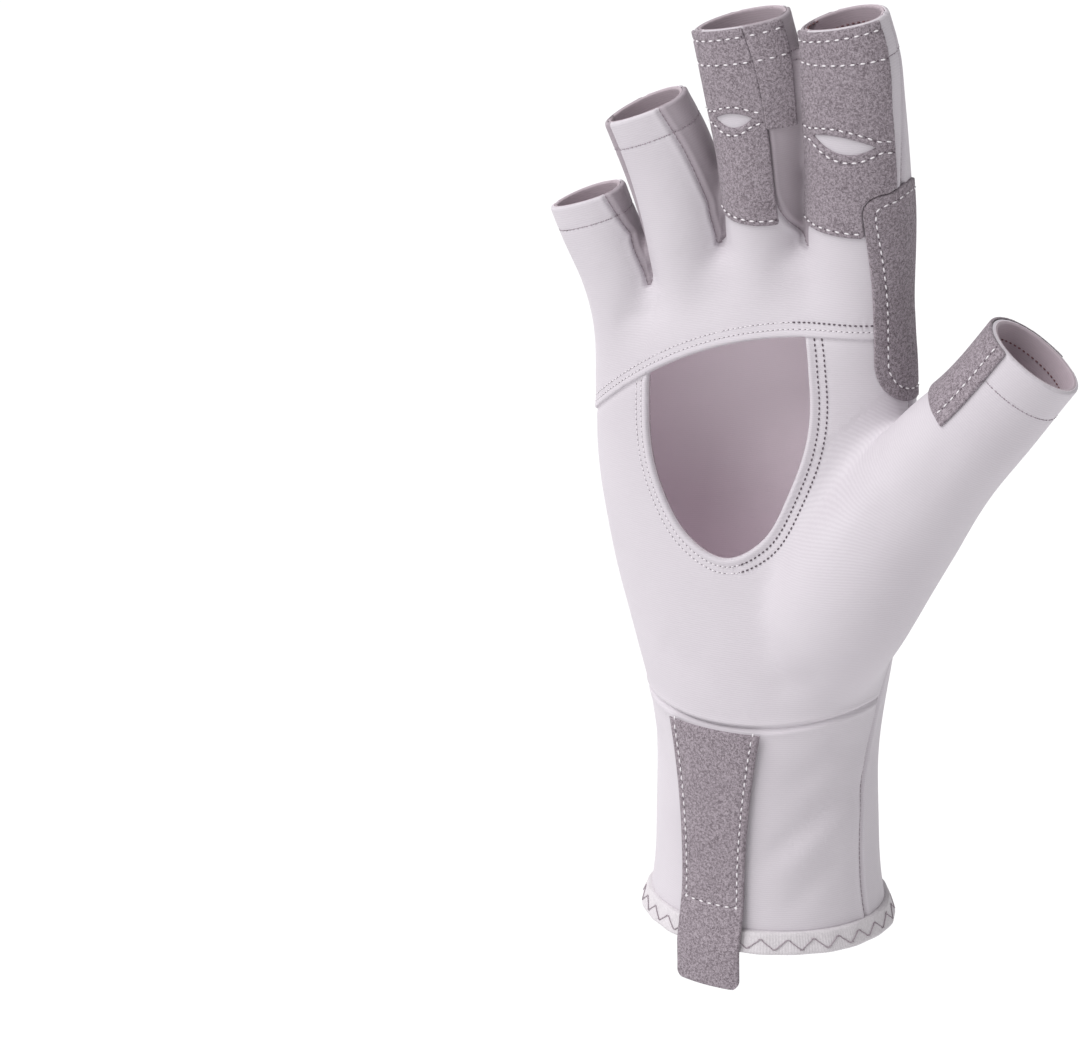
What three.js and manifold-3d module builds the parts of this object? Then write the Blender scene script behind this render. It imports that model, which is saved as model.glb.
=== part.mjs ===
// A fingerless fishing glove for the right hand, held open as on a hand.
// Palm towards -Y, fingers up along +Z, thumb towards +X.
// The origin is the centre of the cuff's mouth. Lengths are in millimetres.
import * as THREE from 'three';
import { mergeVertices } from 'three/addons/utils/BufferGeometryUtils.js';
import Module from 'manifold-3d';

const wasm = await Module();
wasm.setup();

// Hand and cuff
const CUFF_LENGTH = 64;
const KNUCKLE_HEIGHT = 196;
const MOUTH_BREADTH = 68.6;
const MOUTH_DEPTH = 57;
const WRIST_BREADTH = 62.6;
const WRIST_DEPTH = 50.8;
const PALM_BREADTH = 92.4;
const PALM_DEPTH = 36;
const PALM_SHIFT = 3.5;
const KNUCKLE_SLANT = 0.5;
const ARC_BELOW = 22;
const ARC_DROP = 26;
const WRIST_RISE = 6;

// Fingers, each height measured from the cuff's mouth
const INDEX_REACH = 258.6;
const MIDDLE_REACH = 256.3;
const RING_REACH = 230.6;
const LITTLE_REACH = 203.7;
const INDEX_WIDTH = 26;
const MIDDLE_WIDTH = 26.4;
const RING_WIDTH = 24;
const LITTLE_WIDTH = 21.5;
const FINGER_DEPTH = 20.5;
const FINGER_CURL = 10;

// Thumb
const THUMB_OUT = 80.4;
const THUMB_UP = 176;
const THUMB_FORE = 14;
const THUMB_WIDTH = 29.6;
const THUMB_DEPTH = 25.6;

// Cloth, suede and seams
const CLOTH = 1.2;
const SUEDE = 0.8;
const SEAM_GAP = 0.3;
const LAYER_GAP = 0.3;
const CUFF_HEM = 6;
const HEM_TAPE = 0.6;
const FINGER_HEM = 7.5;
const THUMB_HEM = 9.5;
const WEB_LAP = 3.5;

// Palm opening and pull tab
const OPENING_BREADTH = 46.8;
const OPENING_LENGTH = 63;
const OPENING_SHIFT = -4.6;
const BINDING_WIDTH = 6;
const TAB_WIDTH = 19.6;
const TAB_FLARE = 8.4;
const TAB_SHIFT = -5.4;
const TAB_HANG = 11;
const TAB_CORNER = 3;

// Suede patches, their lengths and slits measured down from the finger's mouth
const INDEX_PATCH_LENGTH = 56.6;
const MIDDLE_PATCH_LENGTH = 52.3;
const SIDE_SUEDE_LENGTH = 26.3;
const THUMB_PATCH_LENGTH = 26;
const INDEX_EYELET_BELOW = 31.6;
const INDEX_EYELET_WIDTH = 17;
const MIDDLE_EYELET_BELOW = 25.3;
const MIDDLE_EYELET_WIDTH = 11;
const EYELET_OPEN = 4.4;
const SIDE_PATCH_LENGTH = 55;
const SIDE_PATCH_RISE = 18;
const SIDE_PATCH_CORNER = 6;

const BODY_SIDES = 32;
const FINGER_SIDES = 16;
const THUMB_SIDES = 20;
const FAR = 120;
const CRUMB = 1;

const ARC_TOP = KNUCKLE_HEIGHT - ARC_BELOW;

const UP = new THREE.Vector3(0, 0, 1);
const BACK = new THREE.Vector3(0, 1, 0);
const SIDE = new THREE.Vector3(1, 0, 0);

// Cuff sections: height as a share of the cuff, flare from the wrist's size to the mouth's
const CUFF_SECTIONS = [
  { height: 0.00, flare: 1.00 },
  { height: 0.16, flare: 0.42 },
  { height: 0.44, flare: 0.10 },
  { height: 0.75, flare: 0.00 },
];

// Palm sections: rise from the wrist seam to the knuckles, spread and flattening
// from the wrist's size to the palm's, closing of the depth, shift towards the
// little finger, squareness of the oval and slant under the little finger
const PALM_SECTIONS = [
  { rise: 0.00, spread: 0.11, flat: 0.05, close: 1.00, shift: 0.00, square: 2.10, slant: 0.0 },
  { rise: 0.14, spread: 0.40, flat: 0.24, close: 1.00, shift: 0.29, square: 2.15, slant: 0.0 },
  { rise: 0.29, spread: 0.69, flat: 0.51, close: 1.00, shift: 0.63, square: 2.20, slant: 0.0 },
  { rise: 0.45, spread: 0.90, flat: 0.78, close: 1.00, shift: 0.91, square: 2.30, slant: 0.0 },
  { rise: 0.61, spread: 1.00, flat: 1.00, close: 1.00, shift: 1.00, square: 2.35, slant: 0.0 },
  { rise: 0.71, spread: 0.99, flat: 1.00, close: 0.94, shift: 1.00, square: 2.40, slant: 0.0 },
  { rise: 0.82, spread: 0.95, flat: 1.00, close: 0.86, shift: 0.90, square: 2.40, slant: 0.4 },
  { rise: 0.91, spread: 0.82, flat: 1.00, close: 0.67, shift: 0.80, square: 2.40, slant: 0.8 },
  { rise: 0.97, spread: 0.59, flat: 1.00, close: 0.62, shift: 0.70, square: 2.40, slant: 1.0 },
  { rise: 1.00, spread: 0.25, flat: 1.00, close: 0.45, shift: 0.60, square: 2.40, slant: 1.0 },
];

// Finger sections: up from the finger's root to its mouth, side as a share of the
// palm's breadth, fore as a share of the curl, width and depth of the tube
const FINGERS = {
  index: {
    root: 0.806 * KNUCKLE_HEIGHT,
    reach: INDEX_REACH,
    width: INDEX_WIDTH,
    rows: [
      { up: 0.000, side: 0.280, fore: 0.1, width: 1.00, depth: 1.05 },
      { up: 0.149, side: 0.289, fore: 0.1, width: 1.10, depth: 1.25 },
      { up: 0.437, side: 0.298, fore: 0.2, width: 1.08, depth: 1.22 },
      { up: 0.628, side: 0.308, fore: 0.5, width: 1.03, depth: 1.17 },
      { up: 0.770, side: 0.308, fore: 0.7, width: 1.01, depth: 1.10 },
      { up: 0.914, side: 0.306, fore: 0.9, width: 0.97, depth: 1.05 },
      { up: 1.000, side: 0.288, fore: 1.0, width: 0.90, depth: 1.00 },
    ],
  },
  middle: {
    root: 0.867 * KNUCKLE_HEIGHT,
    reach: MIDDLE_REACH,
    width: MIDDLE_WIDTH,
    rows: [
      { up: 0.000, side: 0.032, fore: 0.1, width: 0.83, depth: 1.27 },
      { up: 0.340, side: 0.023, fore: 0.2, width: 0.83, depth: 1.22 },
      { up: 0.513, side: 0.025, fore: 0.5, width: 0.87, depth: 1.17 },
      { up: 0.699, side: 0.023, fore: 0.7, width: 0.98, depth: 1.10 },
      { up: 0.848, side: 0.015, fore: 0.9, width: 1.03, depth: 1.05 },
      { up: 1.000, side: -0.014, fore: 1.0, width: 1.00, depth: 1.02 },
    ],
  },
  ring: {
    root: 0.857 * KNUCKLE_HEIGHT,
    reach: RING_REACH,
    width: RING_WIDTH,
    rows: [
      { up: 0.000, side: -0.165, fore: 0.1, width: 0.92, depth: 1.22 },
      { up: 0.317, side: -0.211, fore: 0.2, width: 0.94, depth: 1.17 },
      { up: 0.554, side: -0.232, fore: 0.4, width: 1.02, depth: 1.12 },
      { up: 0.799, side: -0.271, fore: 0.6, width: 1.07, depth: 1.05 },
      { up: 1.000, side: -0.324, fore: 0.8, width: 1.00, depth: 1.00 },
    ],
  },
  little: {
    root: 0.735 * KNUCKLE_HEIGHT,
    reach: LITTLE_REACH,
    width: LITTLE_WIDTH,
    rows: [
      { up: 0.000, side: -0.390, fore: 0.1, width: 0.85, depth: 0.95 },
      { up: 0.213, side: -0.408, fore: 0.1, width: 0.98, depth: 1.07 },
      { up: 0.476, side: -0.423, fore: 0.2, width: 1.00, depth: 1.07 },
      { up: 0.658, side: -0.448, fore: 0.3, width: 1.00, depth: 1.02 },
      { up: 0.829, side: -0.488, fore: 0.4, width: 0.99, depth: 0.98 },
      { up: 1.000, side: -0.526, fore: 0.5, width: 1.02, depth: 0.90 },
    ],
  },
};

// Thumb sections: up from the wrist seam to the mouth, out to the side, fore, width and depth
const THUMB_ROWS = [
  { up: 0.090, out: 0.20, fore: 0.36, width: 0.95, depth: 1.05 },
  { up: 0.304, out: 0.32, fore: 0.86, width: 1.35, depth: 1.40 },
  { up: 0.536, out: 0.51, fore: 1.00, width: 1.27, depth: 1.37 },
  { up: 0.732, out: 0.70, fore: 1.07, width: 1.09, depth: 1.21 },
  { up: 0.866, out: 0.86, fore: 1.07, width: 1.01, depth: 1.09 },
  { up: 1.000, out: 1.00, fore: 1.00, width: 1.00, depth: 1.00 },
];

// Strips between two fingers. Each seam stands at a share of the half width from
// the finger's middle line, at the front of its tip and root, and at its back
const STRIPS = [
  {
    name: 'index_middle',
    web: 1.010 * KNUCKLE_HEIGHT,
    seams: [
      { finger: 'index', side: -1, frontTip: 0.75, frontRoot: 0.75, back: 0.55 },
      { finger: 'middle', side: 1, frontTip: 0.26, frontRoot: 0.62, back: 0.70 },
    ],
  },
  {
    name: 'middle_ring',
    web: 1.000 * KNUCKLE_HEIGHT,
    seams: [
      { finger: 'middle', side: -1, frontTip: 0.75, frontRoot: 0.75, back: 0.45 },
      { finger: 'ring', side: 1, frontTip: 0.58, frontRoot: 0.80, back: 0.70 },
    ],
  },
  {
    name: 'ring_little',
    web: 0.941 * KNUCKLE_HEIGHT,
    seams: [
      { finger: 'ring', side: -1, frontTip: 0.75, frontRoot: 0.75, back: 0.40 },
      { finger: 'little', side: 1, frontTip: 0.64, frontRoot: 0.84, back: 0.70 },
    ],
  },
];

// Side seam between palm and back: height as a share of the knuckles' height, and
// how far forward it lies as shares of the palm's depth and of the fingers' curl
const SIDE_SEAM = [
  { height: -0.27, fore: 0.14, curl: 0.00 },
  { height: 0.25, fore: 0.14, curl: 0.00 },
  { height: 0.35, fore: 0.06, curl: 0.00 },
  { height: 0.77, fore: 0.06, curl: 0.00 },
  { height: 0.88, fore: 0.10, curl: 0.00 },
  { height: 1.10, fore: 0.14, curl: 0.40 },
  { height: 1.45, fore: 0.14, curl: 1.00 },
  { height: 1.60, fore: 0.14, curl: 1.10 },
];

// Outline of the palm opening, as shares of its half breadth and half height
const OPENING_OUTLINE = [
  { side: 0.03, up: -1.00 },
  { side: 0.48, up: -0.84 },
  { side: 0.78, up: -0.48 },
  { side: 0.98, up: -0.06 },
  { side: 0.98, up: 0.34 },
  { side: 0.80, up: 0.80 },
  { side: 0.00, up: 1.00 },
  { side: -0.85, up: 0.70 },
  { side: -1.00, up: 0.05 },
  { side: -0.88, up: -0.46 },
  { side: -0.48, up: -0.86 },
];

// A closed solid from its faces
function solid(geometry) {
  geometry.deleteAttribute('normal');
  geometry.deleteAttribute('uv');
  const merged = mergeVertices(geometry, 1e-5);
  return new wasm.Manifold(new wasm.Mesh({
    numProp: 3,
    vertProperties: Float32Array.from(merged.attributes.position.array),
    triVerts: Uint32Array.from(merged.index.array),
  }));
}

function joined(solids) {
  return solids.reduce((all, next) => all.add(next));
}

// A solid drawn through rings that have the same number of points. Each ring has
// its points in the plane of its frame
function loft(frames, outlines) {
  const count = outlines[0].length;
  const points = [];
  frames.forEach((frame, i) => {
    for (const [across, deep] of outlines[i]) {
      const point = frame.centre.clone();
      point.addScaledVector(frame.across, across).addScaledVector(frame.deep, deep);
      if (frame.bend) frame.bend(point);
      points.push(point.x, point.y, point.z);
    }
  });
  const faces = [];
  for (let i = 0; i + 1 < frames.length; i += 1) {
    for (let j = 0; j < count; j += 1) {
      const a = i * count + j;
      const b = i * count + ((j + 1) % count);
      faces.push(a, b, b + count, a, b + count, a + count);
    }
  }
  const flat = outlines[0].map(([across, deep]) => new THREE.Vector2(across, deep));
  const last = (frames.length - 1) * count;
  for (const [a, b, c] of THREE.ShapeUtils.triangulateShape(flat, [])) {
    faces.push(a, c, b);
    faces.push(last + a, last + b, last + c);
  }
  return new wasm.Manifold(new wasm.Mesh({
    numProp: 3,
    vertProperties: Float32Array.from(points),
    triVerts: Uint32Array.from(faces),
  }));
}

function oval(halfWidth, halfDepth, sides, square = 2) {
  const outline = [];
  for (let i = 0; i < sides; i += 1) {
    const turn = (2 * Math.PI * i) / sides;
    const c = Math.cos(turn);
    const s = Math.sin(turn);
    outline.push([
      halfWidth * Math.sign(c) * Math.abs(c) ** (2 / square),
      halfDepth * Math.sign(s) * Math.abs(s) ** (2 / square),
    ]);
  }
  return outline;
}

const mix = THREE.MathUtils.lerp;

// Sections of the cuff and palm from the mouth up
function bodySections() {
  const level = (height, breadth, depth, shift = 0, square = 2, slant = 0) => ({
    centre: new THREE.Vector3(-shift, 0, height),
    across: SIDE,
    deep: BACK,
    halfWidth: breadth / 2,
    halfDepth: depth / 2,
    square,
    bend: (point) => {
      const beyond = Math.max(0, -point.x - PALM_SHIFT);
      point.z -= slant * KNUCKLE_SLANT * beyond;
    },
  });
  const cuff = CUFF_SECTIONS.map((row) => level(
    row.height * CUFF_LENGTH,
    mix(WRIST_BREADTH, MOUTH_BREADTH, row.flare),
    mix(WRIST_DEPTH, MOUTH_DEPTH, row.flare),
  ));
  const palm = PALM_SECTIONS.map((row) => level(
    mix(CUFF_LENGTH, KNUCKLE_HEIGHT, row.rise),
    mix(WRIST_BREADTH, PALM_BREADTH, row.spread),
    mix(WRIST_DEPTH, PALM_DEPTH, row.flat) * row.close,
    row.shift * PALM_SHIFT,
    row.square,
    row.slant,
  ));
  return [...cuff, ...palm];
}

// Cuff and palm, grown or shrunk by an offset, and drawn down past the mouth
function body(offset, below = 0) {
  const sections = bodySections();
  const top = sections[sections.length - 1];
  top.centre.z += offset;
  if (below > 0) {
    const foot = { ...sections[0], centre: new THREE.Vector3(0, 0, -below) };
    sections.unshift(foot);
  }
  const outlines = sections.map((row) => oval(
    row.halfWidth + offset,
    row.halfDepth + offset,
    BODY_SIDES,
    row.square,
  ));
  return loft(sections, outlines);
}

// Rows of a finger or the thumb turned into centres and sizes
function limb(rows) {
  return rows.map((row, i) => {
    const before = rows[Math.max(i - 1, 0)].centre;
    const after = rows[Math.min(i + 1, rows.length - 1)].centre;
    const axis = after.clone().sub(before).normalize();
    return { ...row, axis };
  });
}

const LIMBS = { thumb: limb(THUMB_ROWS.map((row) => ({
  up: row.up,
  centre: new THREE.Vector3(
    row.out * THUMB_OUT,
    -row.fore * THUMB_FORE,
    mix(CUFF_LENGTH, THUMB_UP, row.up),
  ),
  halfWidth: (row.width * THUMB_WIDTH) / 2,
  halfDepth: (row.depth * THUMB_DEPTH) / 2,
}))) };
for (const [name, finger] of Object.entries(FINGERS)) {
  LIMBS[name] = limb(finger.rows.map((row) => ({
    up: row.up,
    centre: new THREE.Vector3(
      row.side * PALM_BREADTH,
      -row.fore * FINGER_CURL,
      mix(finger.root, finger.reach, row.up),
    ),
    halfWidth: (row.width * finger.width) / 2,
    halfDepth: (row.depth * FINGER_DEPTH) / 2,
  })));
}

// One section across a limb, at a share of its length
function section(rows, up) {
  const last = rows[rows.length - 1];
  let next = rows.findIndex((row) => row.up >= up);
  if (next === -1) next = rows.length - 1;
  next = Math.max(next, 1);
  const low = rows[next - 1];
  const high = rows[next];
  const share = Math.min((up - low.up) / (high.up - low.up), 1);
  const axis = low.axis.clone().lerp(high.axis, share).normalize();
  const centre = low.centre.clone().lerp(high.centre, share);
  const across = new THREE.Vector3().crossVectors(BACK, axis).normalize();
  const deep = new THREE.Vector3().crossVectors(axis, across);
  if (up > last.up) centre.addScaledVector(axis, (up - last.up) * limbLength(rows));
  return {
    up,
    centre,
    across,
    deep,
    halfWidth: mix(low.halfWidth, high.halfWidth, share),
    halfDepth: mix(low.halfDepth, high.halfDepth, share),
  };
}

function limbLength(rows) {
  const first = rows[0];
  const last = rows[rows.length - 1];
  return last.centre.distanceTo(first.centre) / (last.up - first.up);
}

// Sections between two shares of a limb's length, with its own rows between them
function stretch(rows, from, to) {
  const between = rows.map((row) => row.up).filter((up) => up > from + 0.01 && up < to - 0.01);
  return [from, ...between, to].map((up) => section(rows, up));
}

function tube(name, offset, from, to) {
  const sections = stretch(LIMBS[name], from, to);
  const sides = name === 'thumb' ? THUMB_SIDES : FINGER_SIDES;
  const outlines = sections.map((row) => oval(
    row.halfWidth + offset,
    row.halfDepth + offset,
    sides,
  ));
  return loft(sections, outlines);
}

const rootOf = (name) => LIMBS[name][0].up;
const pastMouth = (name, distance) => 1 + distance / limbLength(LIMBS[name]);

// The whole hand's form, grown or shrunk by an offset. An open form runs out past
// every mouth, so that it cuts the mouths open
function form(offset, open = false) {
  const past = open ? 8 : 0;
  const parts = Object.keys(LIMBS).map((name) => (
    tube(name, offset, rootOf(name), pastMouth(name, past))
  ));
  return joined([body(offset, past), ...parts]);
}

// A block with its outline in the side and height directions, from y = near to y = far
function frontBlock(outline, near, far) {
  const geometry = new THREE.ExtrudeGeometry(new THREE.Shape(outline), {
    depth: near - far,
    bevelEnabled: false,
  });
  geometry.applyMatrix4(new THREE.Matrix4().makeBasis(SIDE, UP, BACK.clone().negate()));
  geometry.translate(0, near, 0);
  return solid(geometry);
}

// A block with its outline in the depth and height directions, right across the glove
function crossBlock(outline) {
  const geometry = new THREE.ExtrudeGeometry(new THREE.Shape(outline), {
    depth: 2 * FAR,
    bevelEnabled: false,
  });
  geometry.applyMatrix4(new THREE.Matrix4().makeBasis(BACK, UP, SIDE));
  geometry.translate(-FAR, 0, 0);
  return solid(geometry);
}

const flatPoint = (across, up) => new THREE.Vector2(across, up);

// Everything in front of the side seam
function palmSide(grow) {
  const seam = SIDE_SEAM.map((row) => flatPoint(
    grow - row.fore * PALM_DEPTH - row.curl * FINGER_CURL,
    row.height * KNUCKLE_HEIGHT,
  ));
  const top = seam[seam.length - 1].y;
  const foot = seam[0].y;
  return crossBlock([flatPoint(-FAR, foot), ...seam, flatPoint(-FAR, top)]);
}

function thumbZone(grow) {
  return tube('thumb', CLOTH + grow, rootOf('thumb'), pastMouth('thumb', 2 * CLOTH));
}

// Height of the arc seam between upper and lower palm
function arcHeight(side) {
  const reach = PALM_BREADTH * 0.78;
  const run = Math.max(0, PALM_BREADTH * 0.325 - side) / reach;
  return ARC_TOP - ARC_DROP * run ** 2.35;
}

function wristHeight(side) {
  const run = (side - TAB_SHIFT) / (WRIST_BREADTH * 0.64);
  return CUFF_LENGTH + WRIST_RISE * Math.min(run ** 2, 1.2);
}

function curveAcross(height, from, to, raise) {
  const steps = 24;
  const points = [];
  for (let i = 0; i <= steps; i += 1) {
    const side = mix(from, to, i / steps);
    points.push(flatPoint(side, height(side) + raise));
  }
  return points;
}

function aboveArc(raise) {
  const left = -PALM_BREADTH * 0.65;
  const right = PALM_BREADTH / 2;
  const arc = curveAcross(arcHeight, left, right, raise);
  const outline = [...arc, flatPoint(right, 3 * FAR), flatPoint(left, 3 * FAR)];
  return frontBlock(outline, FAR, -FAR);
}

function aboveWrist(raise) {
  const seam = curveAcross(wristHeight, -PALM_BREADTH * 0.65, PALM_BREADTH * 0.65, raise);
  const left = flatPoint(-FAR, seam[0].y);
  const right = flatPoint(FAR, seam[seam.length - 1].y);
  const outline = [left, ...seam, right, flatPoint(FAR, 3 * FAR), flatPoint(-FAR, 3 * FAR)];
  return frontBlock(outline, FAR, -FAR);
}

function belowLine(height) {
  return frontBlock([
    flatPoint(-FAR, -FAR),
    flatPoint(FAR, -FAR),
    flatPoint(FAR, height),
    flatPoint(-FAR, height),
  ], FAR, -FAR);
}

// One side of a finger, from its front seam round to its back seam
function fingerSide(seam, web, grow) {
  const finger = FINGERS[seam.finger];
  const rows = LIMBS[seam.finger];
  const foot = (web - WEB_LAP - grow - finger.root) / (finger.reach - finger.root);
  const sections = stretch(rows, foot, pastMouth(seam.finger, 3));
  sections[0].across = SIDE;
  sections[0].deep = BACK;
  const outlines = sections.map((row, i) => {
    const up = Math.min((row.up - foot) / (1 - foot), 1);
    const front = mix(seam.frontRoot, seam.frontTip, up) * row.halfWidth - grow;
    const back = seam.back * row.halfWidth - grow;
    const outer = row.halfWidth + (i === 0 ? WEB_LAP / 2 : LAYER_GAP / 2);
    const deep = row.halfDepth + WEB_LAP;
    const corners = [
      [front, -deep],
      [outer, -deep],
      [outer, deep],
      [back, deep],
      [back, 0],
      [front, 0],
    ];
    if (seam.side > 0) return corners;
    return corners.map(([across, depth]) => [-across, depth]).reverse();
  });
  return loft(sections, outlines);
}

function stripZone(strip, grow) {
  return joined(strip.seams.map((seam) => fingerSide(seam, strip.web, grow)));
}

const shell = form(0).subtract(form(-CLOTH, true));

function makeStrips() {
  return STRIPS.map((strip) => shell.intersect(stripZone(strip, 0)));
}

const withoutStrips = STRIPS.reduce(
  (cloth, strip) => cloth.subtract(stripZone(strip, SEAM_GAP)),
  shell.subtract(belowLine(CUFF_HEM + SEAM_GAP)),
);

function openingOutline(grow) {
  const halfHeight = OPENING_LENGTH * 0.6;
  const centre = ARC_TOP - OPENING_LENGTH + halfHeight;
  const points = OPENING_OUTLINE.map((row) => new THREE.Vector3(
    OPENING_SHIFT + row.side * (OPENING_BREADTH / 2 + grow),
    centre + row.up * (halfHeight + grow),
    0,
  ));
  const curve = new THREE.CatmullRomCurve3(points, true, 'centripetal');
  return curve.getPoints(36).slice(0, -1).map((point) => flatPoint(point.x, point.y));
}

function openingBlock(grow) {
  return frontBlock(openingOutline(grow), 0, -FAR);
}

function makePalmUpper() {
  return withoutStrips.intersect(palmSide(0)).intersect(aboveArc(0));
}

function makePalmLower() {
  return withoutStrips
    .intersect(joined([palmSide(0), thumbZone(0)]))
    .subtract(aboveArc(-SEAM_GAP))
    .intersect(aboveWrist(0))
    .subtract(openingBlock(0));
}

function makeCuffPanel() {
  return withoutStrips
    .intersect(palmSide(0))
    .subtract(aboveWrist(-SEAM_GAP));
}

function makeBackPanel() {
  return withoutStrips.subtract(joined([palmSide(SEAM_GAP), thumbZone(SEAM_GAP)]));
}

// Ribbed tape folded over the cuff's edge
function makeCuffHem() {
  const ring = body(HEM_TAPE).subtract(body(-CLOTH - HEM_TAPE, FAR / 10));
  return ring.intersect(belowLine(CUFF_HEM));
}

// Cloth folded in at a finger's mouth
function makeFingerHem(name, height) {
  const outside = -CLOTH - LAYER_GAP;
  const foot = pastMouth(name, -height);
  return tube(name, outside, foot, 1)
    .subtract(tube(name, outside - CLOTH, pastMouth(name, -height - 2), pastMouth(name, 2)));
}

// Doubled edge behind the palm opening
function makeOpeningBinding() {
  const outside = -CLOTH - LAYER_GAP;
  return body(outside).subtract(body(outside - CLOTH))
    .intersect(openingBlock(BINDING_WIDTH))
    .subtract(openingBlock(0))
    .subtract(aboveArc(-SEAM_GAP))
    .subtract(form(-CLOTH - LAYER_GAP).subtract(body(outside)));
}

const suedeLayer = form(LAYER_GAP + SUEDE).subtract(form(LAYER_GAP));

// A stretch of a limb's front between two seams given as shares of its half width
function frontStretch(name, length, leftShare, rightShare, inset = 0) {
  const foot = pastMouth(name, -length);
  const sections = stretch(LIMBS[name], foot, pastMouth(name, -SEAM_GAP));
  const outlines = sections.map((row) => {
    const up = (row.up - foot) / (1 - foot);
    const left = mix(leftShare.root, leftShare.tip, up) * row.halfWidth + inset;
    const right = mix(rightShare.root, rightShare.tip, up) * row.halfWidth - inset;
    const deep = row.halfDepth + 4 * SUEDE;
    return [[left, -deep], [right, -deep], [right, 0], [left, 0]];
  });
  return loft(sections, outlines);
}

// A lens-shaped slit that lets the cloth below show
function eyelet(name, below, width, shift) {
  const { centre, halfWidth } = section(LIMBS[name], pastMouth(name, -below));
  const left = centre.x + shift * halfWidth - width / 2;
  const shape = new THREE.Shape();
  shape.moveTo(left, centre.z);
  shape.quadraticCurveTo(left + width / 2, centre.z - EYELET_OPEN, left + width, centre.z);
  shape.quadraticCurveTo(left + width / 2, centre.z + EYELET_OPEN, left, centre.z);
  return frontBlock(shape.getPoints(6).slice(0, -1), 0, -FAR);
}

function sidePatchOutline(grow) {
  const left = PALM_BREADTH * 0.36 - grow;
  const right = PALM_BREADTH / 2;
  const top = KNUCKLE_HEIGHT + SIDE_PATCH_RISE + grow;
  const foot = KNUCKLE_HEIGHT + SIDE_PATCH_RISE - SIDE_PATCH_LENGTH - grow;
  const corner = SIDE_PATCH_CORNER;
  const lean = SIDE_PATCH_CORNER / 3;
  const shape = new THREE.Shape();
  shape.moveTo(right, foot);
  shape.lineTo(right, top);
  shape.lineTo(left + corner, top);
  shape.quadraticCurveTo(left, top, left, top - corner);
  shape.lineTo(left + lean, mix(foot, top, 0.3));
  shape.quadraticCurveTo(left + lean, foot, left + lean + corner, foot);
  return shape.getPoints(4);
}

function sidePatchBlock(grow) {
  return frontBlock(sidePatchOutline(grow), 2 + grow, -FAR)
    .subtract(tube('thumb', LAYER_GAP + SUEDE, rootOf('thumb'), 1.2));
}

function makeIndexPatch() {
  const zone = frontStretch(
    'index',
    INDEX_PATCH_LENGTH,
    { root: -0.93, tip: -0.93 },
    { root: 0.88, tip: 0.92 },
  );
  return suedeLayer.intersect(zone)
    .subtract(eyelet('index', INDEX_EYELET_BELOW, INDEX_EYELET_WIDTH, 0))
    .subtract(sidePatchBlock(SEAM_GAP));
}

const middleSeam = STRIPS[0].seams[1];

function makeMiddlePatch() {
  const zone = frontStretch(
    'middle',
    MIDDLE_PATCH_LENGTH,
    { root: -0.95, tip: -0.95 },
    { root: middleSeam.frontRoot, tip: middleSeam.frontTip },
    SEAM_GAP / 2,
  );
  return suedeLayer.intersect(zone)
    .subtract(eyelet('middle', MIDDLE_EYELET_BELOW, MIDDLE_EYELET_WIDTH, -0.25));
}

function makeMiddleSidePatch() {
  const zone = frontStretch(
    'middle',
    SIDE_SUEDE_LENGTH,
    { root: middleSeam.frontRoot - 0.2, tip: middleSeam.frontTip },
    { root: 0.93, tip: 0.93 },
    SEAM_GAP / 2,
  );
  return suedeLayer.intersect(zone);
}

function makeSidePatch() {
  return suedeLayer.intersect(sidePatchBlock(0));
}

// Suede round the thumb's inner side, from its front seam over to its back
function makeThumbPatch() {
  const foot = pastMouth('thumb', -THUMB_PATCH_LENGTH);
  const sections = stretch(LIMBS.thumb, foot, pastMouth('thumb', -SEAM_GAP));
  const outlines = sections.map((row) => {
    const front = -0.36 * row.halfWidth;
    const back = 0.30 * row.halfWidth;
    const outer = -row.halfWidth - 4 * SUEDE;
    const deep = row.halfDepth + 4 * SUEDE;
    return [
      [outer, -deep],
      [front, -deep],
      [front, 0],
      [back, 0],
      [back, deep],
      [outer, deep],
    ];
  });
  return suedeLayer.intersect(loft(sections, outlines))
    .subtract(sidePatchBlock(SEAM_GAP));
}

// Suede strap sewn in at the wrist seam and hanging over the hem
function makePullTab() {
  const inside = HEM_TAPE + LAYER_GAP;
  const layer = body(inside + SUEDE + LAYER_GAP, TAB_HANG + 2)
    .subtract(body(inside, TAB_HANG + 4));
  const left = TAB_SHIFT - TAB_WIDTH / 2;
  const right = TAB_SHIFT + TAB_WIDTH / 2;
  const flare = TAB_FLARE / 2;
  const top = CUFF_LENGTH - SEAM_GAP;
  const shape = new THREE.Shape();
  shape.moveTo(left - flare, top);
  shape.bezierCurveTo(left, top * 0.8, left, top * 0.6, left, top * 0.3);
  shape.lineTo(left, TAB_CORNER - TAB_HANG);
  shape.quadraticCurveTo(left, -TAB_HANG, left + TAB_CORNER, -TAB_HANG);
  shape.lineTo(right - TAB_CORNER, -TAB_HANG);
  shape.quadraticCurveTo(right, -TAB_HANG, right, TAB_CORNER - TAB_HANG);
  shape.lineTo(right, top * 0.3);
  shape.bezierCurveTo(right, top * 0.6, right, top * 0.8, right + flare, top);
  return layer.intersect(frontBlock(shape.getPoints(6), 0, -FAR));
}

// Finishes
const finish = (color, roughness) => ({ color, roughness, metalness: 0 });
const KNIT = finish('#d6d0d5', 0.85);
const SHADED_KNIT = finish('#b3abb2', 0.88);
const SUEDE_FINISH = finish('#978c94', 0.95);
const TAPE = finish('#bdb5bb', 0.8);

const glove = new THREE.Group();

// Crumbs of under a cubic millimetre, left where two cuts cross, fall away
function trimmed(piece) {
  return joined(piece.decompose().filter((lump) => lump.volume() > CRUMB));
}

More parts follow.
